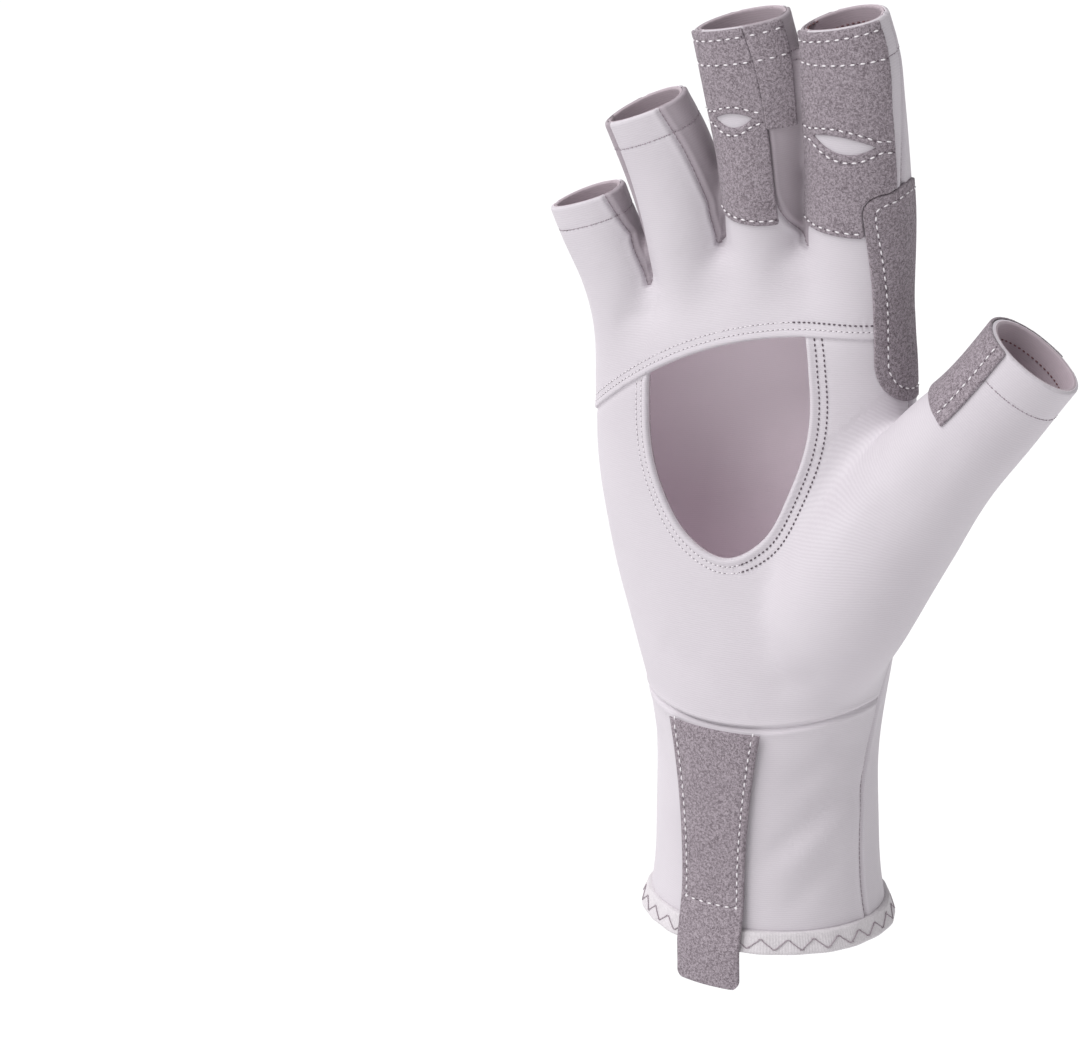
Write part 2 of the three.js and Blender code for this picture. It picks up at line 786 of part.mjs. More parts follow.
function place(name, piece, look) {
  const { numProp, vertProperties, triVerts } = trimmed(piece).getMesh();
  const positions = new Float32Array(triVerts.length * 3);
  triVerts.forEach((vertex, i) => {
    for (let axis = 0; axis < 3; axis += 1) {
      positions[3 * i + axis] = vertProperties[vertex * numProp + axis];
    }
  });
  const geometry = new THREE.BufferGeometry();
  geometry.setAttribute('position', new THREE.BufferAttribute(positions, 3));
  const merged = mergeVertices(geometry, 1e-6);
  merged.computeVertexNormals();
  const mesh = new THREE.Mesh(merged, new THREE.MeshStandardMaterial(look));
  mesh.name = name;
  glove.add(mesh);
}

place('back_panel', makeBackPanel(), KNIT);
place('palm_upper', makePalmUpper(), KNIT);
place('palm_lower', makePalmLower(), KNIT);
place('cuff_panel', makeCuffPanel(), KNIT);
makeStrips().forEach((piece, i) => place(`fourchette_${STRIPS[i].name}`, piece, SHADED_KNIT));
place('cuff_hem', makeCuffHem(), TAPE);
for (const name of Object.keys(FINGERS)) {
  place(`${name}_hem`, makeFingerHem(name, FINGER_HEM), KNIT);
}
place('thumb_hem', makeFingerHem('thumb', THUMB_HEM), KNIT);
place('opening_binding', makeOpeningBinding(), KNIT);
place('index_patch', makeIndexPatch(), SUEDE_FINISH);
place('middle_patch', makeMiddlePatch(), SUEDE_FINISH);
place('middle_side_patch', makeMiddleSidePatch(), SUEDE_FINISH);
place('index_side_patch', makeSidePatch(), SUEDE_FINISH);
place('thumb_patch', makeThumbPatch(), SUEDE_FINISH);
place('pull_tab', makePullTab(), SUEDE_FINISH);

export default glove;
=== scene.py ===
"""A fingerless fishing glove for the right hand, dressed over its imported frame.

Palm towards -Y, fingers up along +Z, thumb towards +X. The origin is the centre
of the cuff's mouth. Lengths are in metres.
"""

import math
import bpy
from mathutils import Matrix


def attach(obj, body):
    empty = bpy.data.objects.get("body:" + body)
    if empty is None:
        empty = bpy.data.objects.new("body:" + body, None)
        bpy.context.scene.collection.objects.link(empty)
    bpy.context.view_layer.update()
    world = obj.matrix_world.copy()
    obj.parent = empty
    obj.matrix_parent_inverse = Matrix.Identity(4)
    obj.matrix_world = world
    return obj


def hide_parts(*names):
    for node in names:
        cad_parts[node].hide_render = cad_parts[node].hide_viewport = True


bl_info = {
    "name": "Fishing glove",
    "version": (1, 0, 0),
    "blender": (4, 5, 0),
    "location": "View3D > Sidebar > Glove",
    "description": "Builds a fingerless sun glove with suede patches and stitched seams",
    "category": "Object",
}

import bpy
import numpy as np
from bpy.props import FloatProperty, FloatVectorProperty, IntProperty, PointerProperty
from mathutils import Matrix, Vector
from mathutils.kdtree import KDTree

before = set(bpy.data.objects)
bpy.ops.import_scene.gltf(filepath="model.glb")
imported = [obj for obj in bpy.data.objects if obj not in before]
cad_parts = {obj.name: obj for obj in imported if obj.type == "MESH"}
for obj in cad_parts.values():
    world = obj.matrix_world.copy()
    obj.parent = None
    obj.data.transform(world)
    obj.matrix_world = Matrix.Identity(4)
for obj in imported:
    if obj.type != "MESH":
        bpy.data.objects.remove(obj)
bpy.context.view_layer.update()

MM = 0.001


def table(columns, *rows):
    """Rows of a table, each with its columns named."""
    return [dict(zip(columns.split(), row)) for row in rows]


# Cuff sections: height as a share of the cuff, flare from the wrist's size to the mouth's
CUFF_SECTIONS = table(
    "height flare",
    (0.00, 1.00),
    (0.16, 0.42),
    (0.44, 0.10),
    (0.75, 0.00),
)

# Palm sections: rise from the wrist seam to the knuckles, spread and flattening from
# the wrist's size to the palm's, closing of the depth, shift towards the little
# finger, squareness of the oval and slant under the little finger
PALM_SECTIONS = table(
    "rise spread flat close shift square slant",
    (0.00, 0.11, 0.05, 1.00, 0.00, 2.10, 0.0),
    (0.14, 0.40, 0.24, 1.00, 0.29, 2.15, 0.0),
    (0.29, 0.69, 0.51, 1.00, 0.63, 2.20, 0.0),
    (0.45, 0.90, 0.78, 1.00, 0.91, 2.30, 0.0),
    (0.61, 1.00, 1.00, 1.00, 1.00, 2.35, 0.0),
    (0.71, 0.99, 1.00, 0.94, 1.00, 2.40, 0.0),
    (0.82, 0.95, 1.00, 0.86, 0.90, 2.40, 0.4),
    (0.91, 0.82, 1.00, 0.67, 0.80, 2.40, 0.8),
    (0.97, 0.59, 1.00, 0.62, 0.70, 2.40, 1.0),
    (1.00, 0.25, 1.00, 0.45, 0.60, 2.40, 1.0),
)

# Finger sections: up from the finger's root to its mouth, side as a share of the palm's
# breadth, fore as a share of the curl, width and depth of the tube
LIMB_COLUMNS = "up side fore width depth"
FINGER_ROWS = {
    "index": table(
        LIMB_COLUMNS,
        (0.000, 0.280, 0.1, 1.00, 1.05),
        (0.149, 0.289, 0.1, 1.10, 1.25),
        (0.437, 0.298, 0.2, 1.08, 1.22),
        (0.628, 0.308, 0.5, 1.03, 1.17),
        (0.770, 0.308, 0.7, 1.01, 1.10),
        (0.914, 0.306, 0.9, 0.97, 1.05),
        (1.000, 0.288, 1.0, 0.90, 1.00),
    ),
    "middle": table(
        LIMB_COLUMNS,
        (0.000, 0.032, 0.1, 0.83, 1.27),
        (0.340, 0.023, 0.2, 0.83, 1.22),
        (0.513, 0.025, 0.5, 0.87, 1.17),
        (0.699, 0.023, 0.7, 0.98, 1.10),
        (0.848, 0.015, 0.9, 1.03, 1.05),
        (1.000, -0.014, 1.0, 1.00, 1.02),
    ),
    "ring": table(
        LIMB_COLUMNS,
        (0.000, -0.165, 0.1, 0.92, 1.22),
        (0.317, -0.211, 0.2, 0.94, 1.17),
        (0.554, -0.232, 0.4, 1.02, 1.12),
        (0.799, -0.271, 0.6, 1.07, 1.05),
        (1.000, -0.324, 0.8, 1.00, 1.00),
    ),
    "little": table(
        LIMB_COLUMNS,
        (0.000, -0.390, 0.1, 0.85, 0.95),
        (0.213, -0.408, 0.1, 0.98, 1.07),
        (0.476, -0.423, 0.2, 1.00, 1.07),
        (0.658, -0.448, 0.3, 1.00, 1.02),
        (0.829, -0.488, 0.4, 0.99, 0.98),
        (1.000, -0.526, 0.5, 1.02, 0.90),
    ),
}
FINGER_ROOTS = {"index": 0.806, "middle": 0.867, "ring": 0.857, "little": 0.735}

# Thumb sections: up from the wrist seam to the mouth, side and fore as shares of how far
# its mouth lies out and forward, width and depth of the tube
THUMB_ROWS = table(
    LIMB_COLUMNS,
    (0.090, 0.20, 0.36, 0.95, 1.05),
    (0.304, 0.32, 0.86, 1.35, 1.40),
    (0.536, 0.51, 1.00, 1.27, 1.37),
    (0.732, 0.70, 1.07, 1.09, 1.21),
    (0.866, 0.86, 1.07, 1.01, 1.09),
    (1.000, 1.00, 1.00, 1.00, 1.00),
)

# Strips between two fingers. Each seam stands at a share of the half width from the
# finger's middle line, at the front of its tip and root, and at its back
SEAM_COLUMNS = "finger side front_tip front_root back"
STRIPS = table(
    "name web taper seams",
    ("index_middle", 1.010, 0.018, table(
        SEAM_COLUMNS,
        ("index", -1, 0.75, 0.75, 0.55),
        ("middle", 1, 0.26, 0.62, 0.70),
    )),
    ("middle_ring", 1.000, 0.034, table(
        SEAM_COLUMNS,
        ("middle", -1, 0.75, 0.75, 0.45),
        ("ring", 1, 0.58, 0.80, 0.70),
    )),
    ("ring_little", 0.941, 0.034, table(
        SEAM_COLUMNS,
        ("ring", -1, 0.75, 0.75, 0.40),
        ("little", 1, 0.64, 0.84, 0.70),
    )),
)

# Side seam between palm and back: height as a share of the knuckles' height, and how
# far forward it lies as shares of the palm's depth and of the fingers' curl
SIDE_SEAM = table(
    "height fore curl",
    (-0.27, 0.14, 0.00),
    (0.25, 0.14, 0.00),
    (0.35, 0.06, 0.00),
    (0.77, 0.06, 0.00),
    (0.88, 0.10, 0.00),
    (1.10, 0.12, 0.35),
    (1.45, 0.08, 0.80),
    (1.60, 0.08, 0.90),
)

# Outline of the palm opening, as shares of its half breadth and half height
OPENING_OUTLINE = table(
    "side up",
    (0.03, -1.00),
    (0.48, -0.84),
    (0.78, -0.48),
    (0.98, -0.06),
    (0.98, 0.34),
    (0.80, 0.80),
    (0.00, 1.00),
    (-0.85, 0.70),
    (-1.00, 0.05),
    (-0.88, -0.46),
    (-0.48, -0.86),
)


def length(label, default, description):
    """A length property in metres."""
    return FloatProperty(
        name=label, description=description, default=default, precision=5, unit="LENGTH"
    )


def share(label, default, description):
    """A plain number property."""
    return FloatProperty(name=label, description=description, default=default, precision=4)


def colour(label, default, description):
    """A colour property."""
    return FloatVectorProperty(
        name=label, description=description, default=default, size=3, subtype="COLOR", min=0, max=1
    )


class GloveForm(bpy.types.PropertyGroup):
    """Sizes of the worn hand that the cloth is stretched over."""

    cuff_length: length("Cuff length", 0.064, "From the cuff's mouth to the wrist seam")
    knuckle_height: length("Knuckle height", 0.196, "From the cuff's mouth to the knuckles")
    mouth_breadth: length("Mouth breadth", 0.0686, "Breadth of the cuff's mouth")
    mouth_depth: length("Mouth depth", 0.057, "Depth of the cuff's mouth")
    wrist_breadth: length("Wrist breadth", 0.0626, "Breadth of the wrist")
    wrist_depth: length("Wrist depth", 0.0508, "Depth of the wrist")
    palm_breadth: length("Palm breadth", 0.0924, "Breadth of the palm")
    palm_depth: length("Palm depth", 0.036, "Depth of the palm")
    palm_shift: length("Palm shift", 0.0035, "How far the palm leans to the little finger")
    knuckle_slant: share("Knuckle slant", 0.5, "Fall of the knuckles under the little finger")
    index_reach: length("Index reach", 0.2586, "Height of the index finger's mouth")
    middle_reach: length("Middle reach", 0.2563, "Height of the middle finger's mouth")
    ring_reach: length("Ring reach", 0.2306, "Height of the ring finger's mouth")
    little_reach: length("Little reach", 0.2037, "Height of the little finger's mouth")
    index_width: length("Index width", 0.026, "Width of the index finger")
    middle_width: length("Middle width", 0.0264, "Width of the middle finger")
    ring_width: length("Ring width", 0.024, "Width of the ring finger")
    little_width: length("Little width", 0.0215, "Width of the little finger")
    finger_depth: length("Finger depth", 0.0205, "Depth of a finger")
    finger_curl: length("Finger curl", 0.010, "How far the fingertips lean to the palm")
    finger_flat: share("Finger flattening", 0.34, "How far a mouth's widest line lies forward")
    thumb_out: length("Thumb out", 0.0804, "How far the thumb's mouth lies to the side")
    thumb_up: length("Thumb up", 0.176, "Height of the thumb's mouth")
    thumb_fore: length("Thumb fore", 0.014, "How far the thumb lies forward")
    thumb_width: length("Thumb width", 0.0296, "Width of the thumb")
    thumb_depth: length("Thumb depth", 0.0256, "Depth of the thumb")
    voxel: length("Voxel", 0.0008, "Grain of the joined form")
    keep: share("Keep", 0.5, "Share of the form's faces that are kept")


class GloveCut(bpy.types.PropertyGroup):
    """How the cloth and suede are cut and sewn."""

    cloth: length("Cloth", 0.0010, "Thickness of the knit cloth")
    hem_cloth: length("Hem cloth", 0.0008, "Thickness of the cloth turned in at a mouth")
    suede: length("Suede", 0.0008, "Thickness of the suede")
    suede_lift: length("Suede lift", 0.00012, "Gap between suede and cloth")
    groove: length("Seam groove", 0.0007, "Depth of the groove along a seam")
    groove_width: length("Groove width", 0.00065, "Width of the groove to each side")
    shoulder: length("Seam shoulder", 0.00022, "Height of the roll beside a seam")
    arc_below: length("Arc below", 0.022, "From the knuckles down to the arc seam")
    arc_drop: length("Arc drop", 0.026, "Fall of the arc seam to the little finger's side")
    wrist_rise: length("Wrist rise", 0.006, "Rise of the wrist seam at its ends")
    cuff_hem: length("Cuff hem", 0.006, "Height of the hem tape")
    hem_tape: length("Hem tape", 0.0007, "Thickness of the hem tape")
    finger_hem: length("Finger hem", 0.0075, "Height of a finger's hem")
    thumb_hem: length("Thumb hem", 0.0095, "Height of the thumb's hem")
    web_lap: length("Web lap", 0.0035, "How far a strip runs below the web")
    opening_breadth: length("Opening breadth", 0.0468, "Breadth of the palm opening")
    opening_length: length("Opening length", 0.063, "Length of the palm opening")
    opening_shift: length("Opening shift", -0.0046, "Place of the palm opening to the side")
    binding_width: length("Binding width", 0.006, "Width of the opening's doubled edge")
    tab_width: length("Tab width", 0.0196, "Width of the pull tab")
    tab_flare: length("Tab flare", 0.0084, "How much wider the tab is at the wrist seam")
    tab_shift: length("Tab shift", -0.0054, "Place of the tab to the side")
    tab_hang: length("Tab hang", 0.011, "How far the tab hangs below the cuff")
    tab_corner: length("Tab corner", 0.003, "Radius of the tab's corners")
    index_patch: length("Index patch", 0.0566, "Length of the index finger's suede")
    middle_patch: length("Middle patch", 0.0523, "Length of the middle finger's suede")
    middle_side: length("Middle side patch", 0.0263, "Length of the suede at that finger's side")
    thumb_patch: length("Thumb patch", 0.026, "Length of the thumb's suede")
    index_eyelet: length("Index eyelet", 0.0316, "Place of the index slit below the mouth")
    index_slit: length("Index slit", 0.017, "Width of the index slit")
    middle_eyelet: length("Middle eyelet", 0.0253, "Place of the middle slit below the mouth")
    middle_slit: length("Middle slit", 0.011, "Width of the middle slit")
    side_patch: length("Side patch", 0.055, "Length of the suede at the hand's side")
    side_rise: length("Side patch rise", 0.018, "Top of that suede above the knuckles")
    side_corner: length("Side patch corner", 0.006, "Radius of that suede's corners")


class GloveSewing(bpy.types.PropertyGroup):
    """Places and sizes of the stitches."""

    pitch: length("Pitch", 0.0024, "From stitch to stitch on the suede")
    stitch: length("Stitch", 0.0015, "Length of a stitch on the suede")
    thread: length("Thread", 0.00024, "Radius of the thread on the suede")
    fine_pitch: length("Fine pitch", 0.0014, "From stitch to stitch on the cloth")
    fine_stitch: length("Fine stitch", 0.0009, "Length of a stitch on the cloth")
    fine_thread: length("Fine thread", 0.00015, "Radius of the thread on the cloth")
    rim_row: length("Rim row", 0.0025, "From a suede mouth down to its first row")
    hem_row: length("Hem row", 0.009, "From a suede mouth down to its second row")
    slit_row: length("Slit row", 0.0019, "From a slit to the rows above and below it")
    foot_row: length("Foot row", 0.0016, "From a patch's lower edge up to its row")
    side_row: length("Side row", 0.0028, "From the side patch's edge to its row")
    tab_row: length("Tab row", 0.0019, "From the tab's edge to its row")
    arc_low: length("Arc row", 0.0021, "From the arc seam up to the first row")
    arc_high: length("Arc second row", 0.0039, "From the arc seam up to the second row")
    opening_near: length("Opening row", 0.0020, "From the opening's edge to the first row")
    opening_far: length("Opening second row", 0.0036, "From the opening's edge to the second row")
    dip: length("Row dip", 0.00016, "How deep a row pulls the cloth in")
    zigzag: length("Zigzag", 0.0072, "Period of the zigzag on the cuff's tape")
    zigzag_height: length("Zigzag height", 0.0028, "Height of the zigzag")


class GloveLook(bpy.types.PropertyGroup):
    """Colours of cloth, suede and thread."""

    knit: colour("Knit", (0.610, 0.570, 0.610), "The light cloth")
    # Knit shade: painted shade in the grooves between the knit's courses
    knit_course_shade: colour("Knit shade", (0.525, 0.483, 0.525), "The light cloth between its courses")
    # Strips: the light cloth darkened with painted shade between the fingers
    strip: colour("Strips", (0.385, 0.335, 0.370), "The cloth between the fingers")
    suede: colour("Suede", (0.405, 0.352, 0.390), "Suede with its nap raised")
    suede_low: colour("Suede shade", (0.150, 0.123, 0.140), "Suede with its nap laid")
    tape: colour("Tape", (0.650, 0.612, 0.640), "The cuff's tape")
    thread: colour("Light thread", (0.780, 0.740, 0.770), "The light thread")
    # Reverse: the reverse face's colour, brightened with painted light that stands in for the
    # light reaching the glove's inside
    reverse: colour("Reverse", (0.920, 0.815, 0.880), "The reverse of the light cloth")
    # Inside: a darker copy of the cloth's colour, painted shade on the hems turned in at the
    # mouths and at the opening
    inside: colour("Inside", (0.460, 0.385, 0.425), "The inner face of the cloth at the mouths")
    dark_thread: colour("Dark thread", (0.085, 0.060, 0.078), "The dark thread and needle holes")
    # Hem thread: the thread of the hems and of the cuff's zigzag, and the painted shade in the
    # side seams' groove
    hem_thread: colour("Hem thread", (0.300, 0.245, 0.280), "The thread of the cloth hems")
    # Dark thread: the colour of the dark thread, and also the painted shade of the needle holes
    inner_thread: colour("Inner thread", (0.160, 0.075, 0.080), "The thread inside the mouths")


def mix(a, b, t):
    return a + (b - a) * t


def eased(t):
    """A smooth step from 0 to 1."""
    t = np.clip(t, 0.0, 1.0)
    return t * t * (3 - 2 * t)


def bell(values, width):
    """A soft hump of height 1."""
    return np.exp(-((values / width) ** 2))


def through(at, known, values):
    """A smooth curve through values that are given at known places."""
    at = np.clip(np.asarray(at, float), known[0], known[-1])
    slopes = np.gradient(values, known, axis=0)
    i = np.clip(np.searchsorted(known, at, side="right") - 1, 0, len(known) - 2)
    span = known[i + 1] - known[i]
    t = (at - known[i]) / span
    if np.ndim(values) > 1:
        t = t[:, None]
        span = span[:, None]
    low = values[i]
    high = values[i + 1]
    bend = (1 + 2 * t) * (1 - t) ** 2 * low + t * t * (3 - 2 * t) * high
    return bend + t * (1 - t) ** 2 * span * slopes[i] + t * t * (t - 1) * span * slopes[i + 1]


def unit(vectors):
    return vectors / np.maximum(np.linalg.norm(vectors, axis=-1, keepdims=True), 1e-12)


def around(count):
    return np.linspace(0, 2 * math.pi, count, endpoint=False)


def rounded(turn, square):
    """Points of a rounded oval of half size 1."""
    c = np.cos(turn)
    s = np.sin(turn)
    return np.sign(c) * np.abs(c) ** (2 / square), np.sign(s) * np.abs(s) ** (2 / square)


class Body:
    """Cuff and palm, drawn through smooth sections."""

    def __init__(self, form):
        self.form = form
        rows = []
        for row in CUFF_SECTIONS:
            rows.append([
                row["height"] * form.cuff_length,
                0.0,
                mix(form.wrist_breadth, form.mouth_breadth, row["flare"]) / 2,
                mix(form.wrist_depth, form.mouth_depth, row["flare"]) / 2,
                2.0,
                0.0,
            ])
        for row in PALM_SECTIONS:
            depth = mix(form.wrist_depth, form.palm_depth, row["flat"]) * row["close"]
            rows.append([
                mix(form.cuff_length, form.knuckle_height, row["rise"]),
                -row["shift"] * form.palm_shift,
                mix(form.wrist_breadth, form.palm_breadth, row["spread"]) / 2,
                depth / 2,
                row["square"],
                row["slant"],
            ])
        self.rows = np.array(rows)

    def at(self, heights):
        """Centre, half width, half depth, squareness and slant at these heights."""
        return through(heights, self.rows[:, 0], self.rows[:, 1:])

    def ring(self, heights, turns, offset=0.0):
        """Points of the surface at these heights, one ring for each."""
        centre, half_width, half_depth, square, slant = self.at(heights).T[:, :, None]
        across, deep = rounded(turns[None, :], square)
        x = centre + (half_width + offset) * across
        y = (half_depth + offset) * deep
        beyond = np.maximum(0, -x - self.form.palm_shift)
        z = np.asarray(heights)[:, None] - slant * self.form.knuckle_slant * beyond
        return np.stack([x, y, z], axis=-1)

    def front(self, x, heights, offset=0.0):
        """Depth of the palm side at these places."""
        centre, half_width, half_depth, square, _ = self.at(heights).T
        part = np.clip(np.abs(x - centre) / (half_width + offset), 0, 0.999)
        return -(half_depth + offset) * (1 - part ** square) ** (1 / square)


class Limb:
    """A finger or the thumb: a tube along a smooth middle line."""

    SAMPLES = 60

    def __init__(self, ups, centres, half_widths, half_depths, flat):
        self.ups = ups
        self.past = 1.12
        self.rows = np.column_stack([centres, half_widths, half_depths])
        self.flat = flat
        self.line = np.linspace(ups[0], self.past, self.SAMPLES)
        self.sections = self.at(self.line)

    def at(self, ups):
        """Centre, axes, half sizes and flattening at shares of the limb's length."""
        ups = np.atleast_1d(np.asarray(ups, float))
        rows = through(ups, self.ups, self.rows)
        step = 0.02
        inner = np.minimum(ups, 1 - step)
        low = through(inner - step, self.ups, self.rows[:, :3])
        high = through(inner + step, self.ups, self.rows[:, :3])
        axis = unit(high - low)
        end = through(np.array([1.0 - step, 1.0]), self.ups, self.rows[:, :3])
        self.reach = np.linalg.norm(end[1] - end[0]) / step
        centre = rows[:, :3] + axis * (np.maximum(ups - 1, 0) * self.reach)[:, None]
        across = unit(np.cross([0.0, 1.0, 0.0], axis))
        deep = np.cross(axis, across)
        flat = self.flat * eased((ups - 0.45) / 0.5)
        return {
            "centre": centre,
            "axis": axis,
            "across": across,
            "deep": deep,
            "half_width": rows[:, 3],
            "half_depth": rows[:, 4],
            "flat": flat,
        }

    def ring(self, ups, turns, offset=0.0):
        at = self.at(ups)
        wide = (at["half_width"][:, None] + offset) * np.cos(turns)
        half = at["half_depth"][:, None] + offset
        lean = at["flat"][:, None] * half
        s = np.sin(turns)
        deep = -lean + np.where(s < 0, half - lean, half + lean) * s
        return (
            at["centre"][:, None, :]
            + wide[..., None] * at["across"][:, None, :]
            + deep[..., None] * at["deep"][:, None, :]
        )

    def local(self, points):
        """Where points lie along, across and deep in the limb, and how far out."""
        line = self.sections
        along = np.einsum("kj,kj->k", line["centre"], line["axis"])
        sides = points @ line["axis"].T - along
        passed = (sides > 0).cumprod(axis=1).sum(axis=1)
        i = np.clip(passed - 1, 0, self.SAMPLES - 2)
        rows = np.arange(len(points))
        low = sides[rows, i]
        high = sides[rows, i + 1]
        t = np.clip(low / np.maximum(low - high, 1e-9), -2, 3)
        up = self.line[i] + t * (self.line[1] - self.line[0])
        at = {key: mix_rows(line[key], i, t) for key in line}
        away = points - at["centre"]
        across = np.einsum("ij,ij->i", away, unit(at["across"]))
        deep = np.einsum("ij,ij->i", away, unit(at["deep"]))
        half_width = at["half_width"]
        lean = at["flat"] * at["half_depth"]
        half = np.where(deep + lean < 0, at["half_depth"] - lean, at["half_depth"] + lean)
        out = np.hypot(across / half_width, (deep + lean) / half)
        return {
            "up": up,
            "across": across,
            "deep": deep,
            "half_width": half_width,
            "half_depth": at["half_depth"],
            "out": out,
            "past": (up - 1) * self.reach,
        }


def mix_rows(values, i, t):
    t = np.clip(t, 0, 1)
    if values.ndim > 1:
        t = t[:, None]
    return values[i] * (1 - t) + values[i + 1] * t


def to_back(at):
    """0 at a limb's front and 1 at its back, with a smooth change at its side."""
    return eased(at["deep"] / (0.5 * at["half_depth"]) + 0.5)


def make_limb(rows, side, fore, low, high, width, depth, flat):
    """A limb through rows of sections, from its root to its mouth."""
    ups = np.array([row["up"] for row in rows])
    centres = [
        (row["side"] * side, -row["fore"] * fore, mix(low, high, row["up"])) for row in rows
    ]
    half_widths = np.array([row["width"] * width / 2 for row in rows])
    half_depths = np.array([row["depth"] * depth / 2 for row in rows])
    return Limb(ups, np.array(centres), half_widths, half_depths, flat)


def make_limbs(form):
    """The four fingers and the thumb."""
    limbs = {}
    for name, rows in FINGER_ROWS.items():
        limbs[name] = make_limb(
            rows,
            form.palm_breadth,
            form.finger_curl,
            FINGER_ROOTS[name] * form.knuckle_height,
            getattr(form, name + "_reach"),
            getattr(form, name + "_width"),
            form.finger_depth,
            form.finger_flat,
        )
    limbs["thumb"] = make_limb(
        THUMB_ROWS,
        form.thumb_out,
        form.thumb_fore,
        form.cuff_length,
        form.thumb_up,
        form.thumb_width,
        form.thumb_depth,
        0.0,
    )
    return limbs


def quads(levels, count, round_levels=False, round_count=True):
    """The four corners of every quad in a grid of points."""
    i = np.arange(levels if round_levels else levels - 1)[:, None] * count
    k = (i + count) % (levels * count)
    j = np.arange(count if round_count else count - 1)[None, :]
    n = (j + 1) % count
    return [corner.reshape(-1) for corner in (i + j, i + n, k + n, k + j)]


def halved(a, b, c, d):
    """Two triangles for every quad."""
    return np.concatenate([np.column_stack([a, b, c]), np.column_stack([a, c, d])])


def drawn(rings):
    """Closed faces through rings of points, with a fan at each end."""
    levels, count, _ = rings.shape
    faces = halved(*quads(levels, count))
    foot, last = levels * count, (levels - 1) * count
    points = np.vstack([rings.reshape(-1, 3), rings[0].mean(0), rings[-1].mean(0)])
    j = np.arange(count)
    k = (j + 1) % count
    faces = np.vstack([
        faces,
        np.column_stack([k, j, np.full(count, foot)]),
        np.column_stack([last + j, last + k, np.full(count, foot + 1)]),
    ])
    return points, faces


def joined(meshes):
    """Several meshes as one."""
    points, faces, count = [], [], 0
    for some_points, some_faces in meshes:
        points.append(some_points)
        faces.append(some_faces + count)
        count += len(some_points)
    return np.vstack(points), np.vstack(faces)


def to_mesh(name, points, faces):
    """A Blender mesh from arrays of points and triangles."""
    mesh = bpy.data.meshes.new(name)
    mesh.vertices.add(len(points))
    mesh.vertices.foreach_set("co", np.asarray(points, np.float32).ravel())
    mesh.loops.add(3 * len(faces))
    mesh.loops.foreach_set("vertex_index", np.asarray(faces, np.int32).ravel())
    mesh.polygons.add(len(faces))
    mesh.polygons.foreach_set("loop_start", np.arange(0, 3 * len(faces), 3, dtype=np.int32))
    mesh.polygons.foreach_set("use_smooth", np.ones(len(faces), bool))
    mesh.update(calc_edges=True)
    mesh.validate()
    return mesh


def from_mesh(mesh):
    """Arrays of points and triangles from a Blender mesh."""
    points = np.empty(3 * len(mesh.vertices), np.float32)
    mesh.vertices.foreach_get("co", points)
    mesh.calc_loop_triangles()
    faces = np.empty(3 * len(mesh.loop_triangles), np.int32)
    mesh.loop_triangles.foreach_get("vertices", faces)
    return points.reshape(-1, 3).astype(float), faces.reshape(-1, 3).astype(np.int64)


def modified(points, faces, kind, **settings):
    """The arrays of a form after one modifier."""
    thing = bpy.data.objects.new("form", to_mesh("form", points, faces))
    bpy.context.scene.collection.objects.link(thing)
    modifier = thing.modifiers.new("change", kind)
    for name, value in settings.items():
        setattr(modifier, name, value)
    skin = thing.evaluated_get(bpy.context.evaluated_depsgraph_get())
    arrays = from_mesh(skin.to_mesh())
    skin.to_mesh_clear()
    mesh = thing.data
    bpy.data.objects.remove(thing)
    bpy.data.meshes.remove(mesh)
    return arrays


def remeshed(points, faces, voxel):
    """The outer skin of overlapping solids, with even faces."""
    return modified(points, faces, "REMESH", mode="VOXEL", voxel_size=voxel)


def thinned(points, faces, keep):
    """The same form with fewer faces."""
    return modified(points, faces, "DECIMATE", ratio=keep)

def normals_of(points, faces):
    """A normal for each point."""
    a, b, c = (points[faces[:, i]] for i in range(3))
    each = np.cross(b - a, c - a)
    total = np.zeros_like(points)
    for axis in range(3):
        for corner in range(3):
            total[:, axis] += np.bincount(faces[:, corner], each[:, axis], len(points))
    return unit(total)


def edges_of(faces):
    """Every edge once, as two sorted point numbers."""
    pairs = np.sort(faces[:, [0, 1, 1, 2, 2, 0]].reshape(-1, 2), axis=1)
    size = pairs.max() + 1
    keys = np.unique(pairs[:, 0] * size + pairs[:, 1])
    return np.column_stack([keys // size, keys % size])


def relaxed(points, faces, weights, rounds):
    """Points drawn towards the mean of their neighbours, by a weight for each point."""
    edges = edges_of(faces)
    ends = np.concatenate([edges[:, 0], edges[:, 1]])
    others = np.concatenate([edges[:, 1], edges[:, 0]])
    degree = np.bincount(ends, minlength=len(points))
    for _ in range(rounds):
        mean = np.stack([
            np.bincount(ends, points[others, axis], len(points)) / degree for axis in range(3)
        ], axis=1)
        points = points + (mean - points) * weights[:, None]
    return points


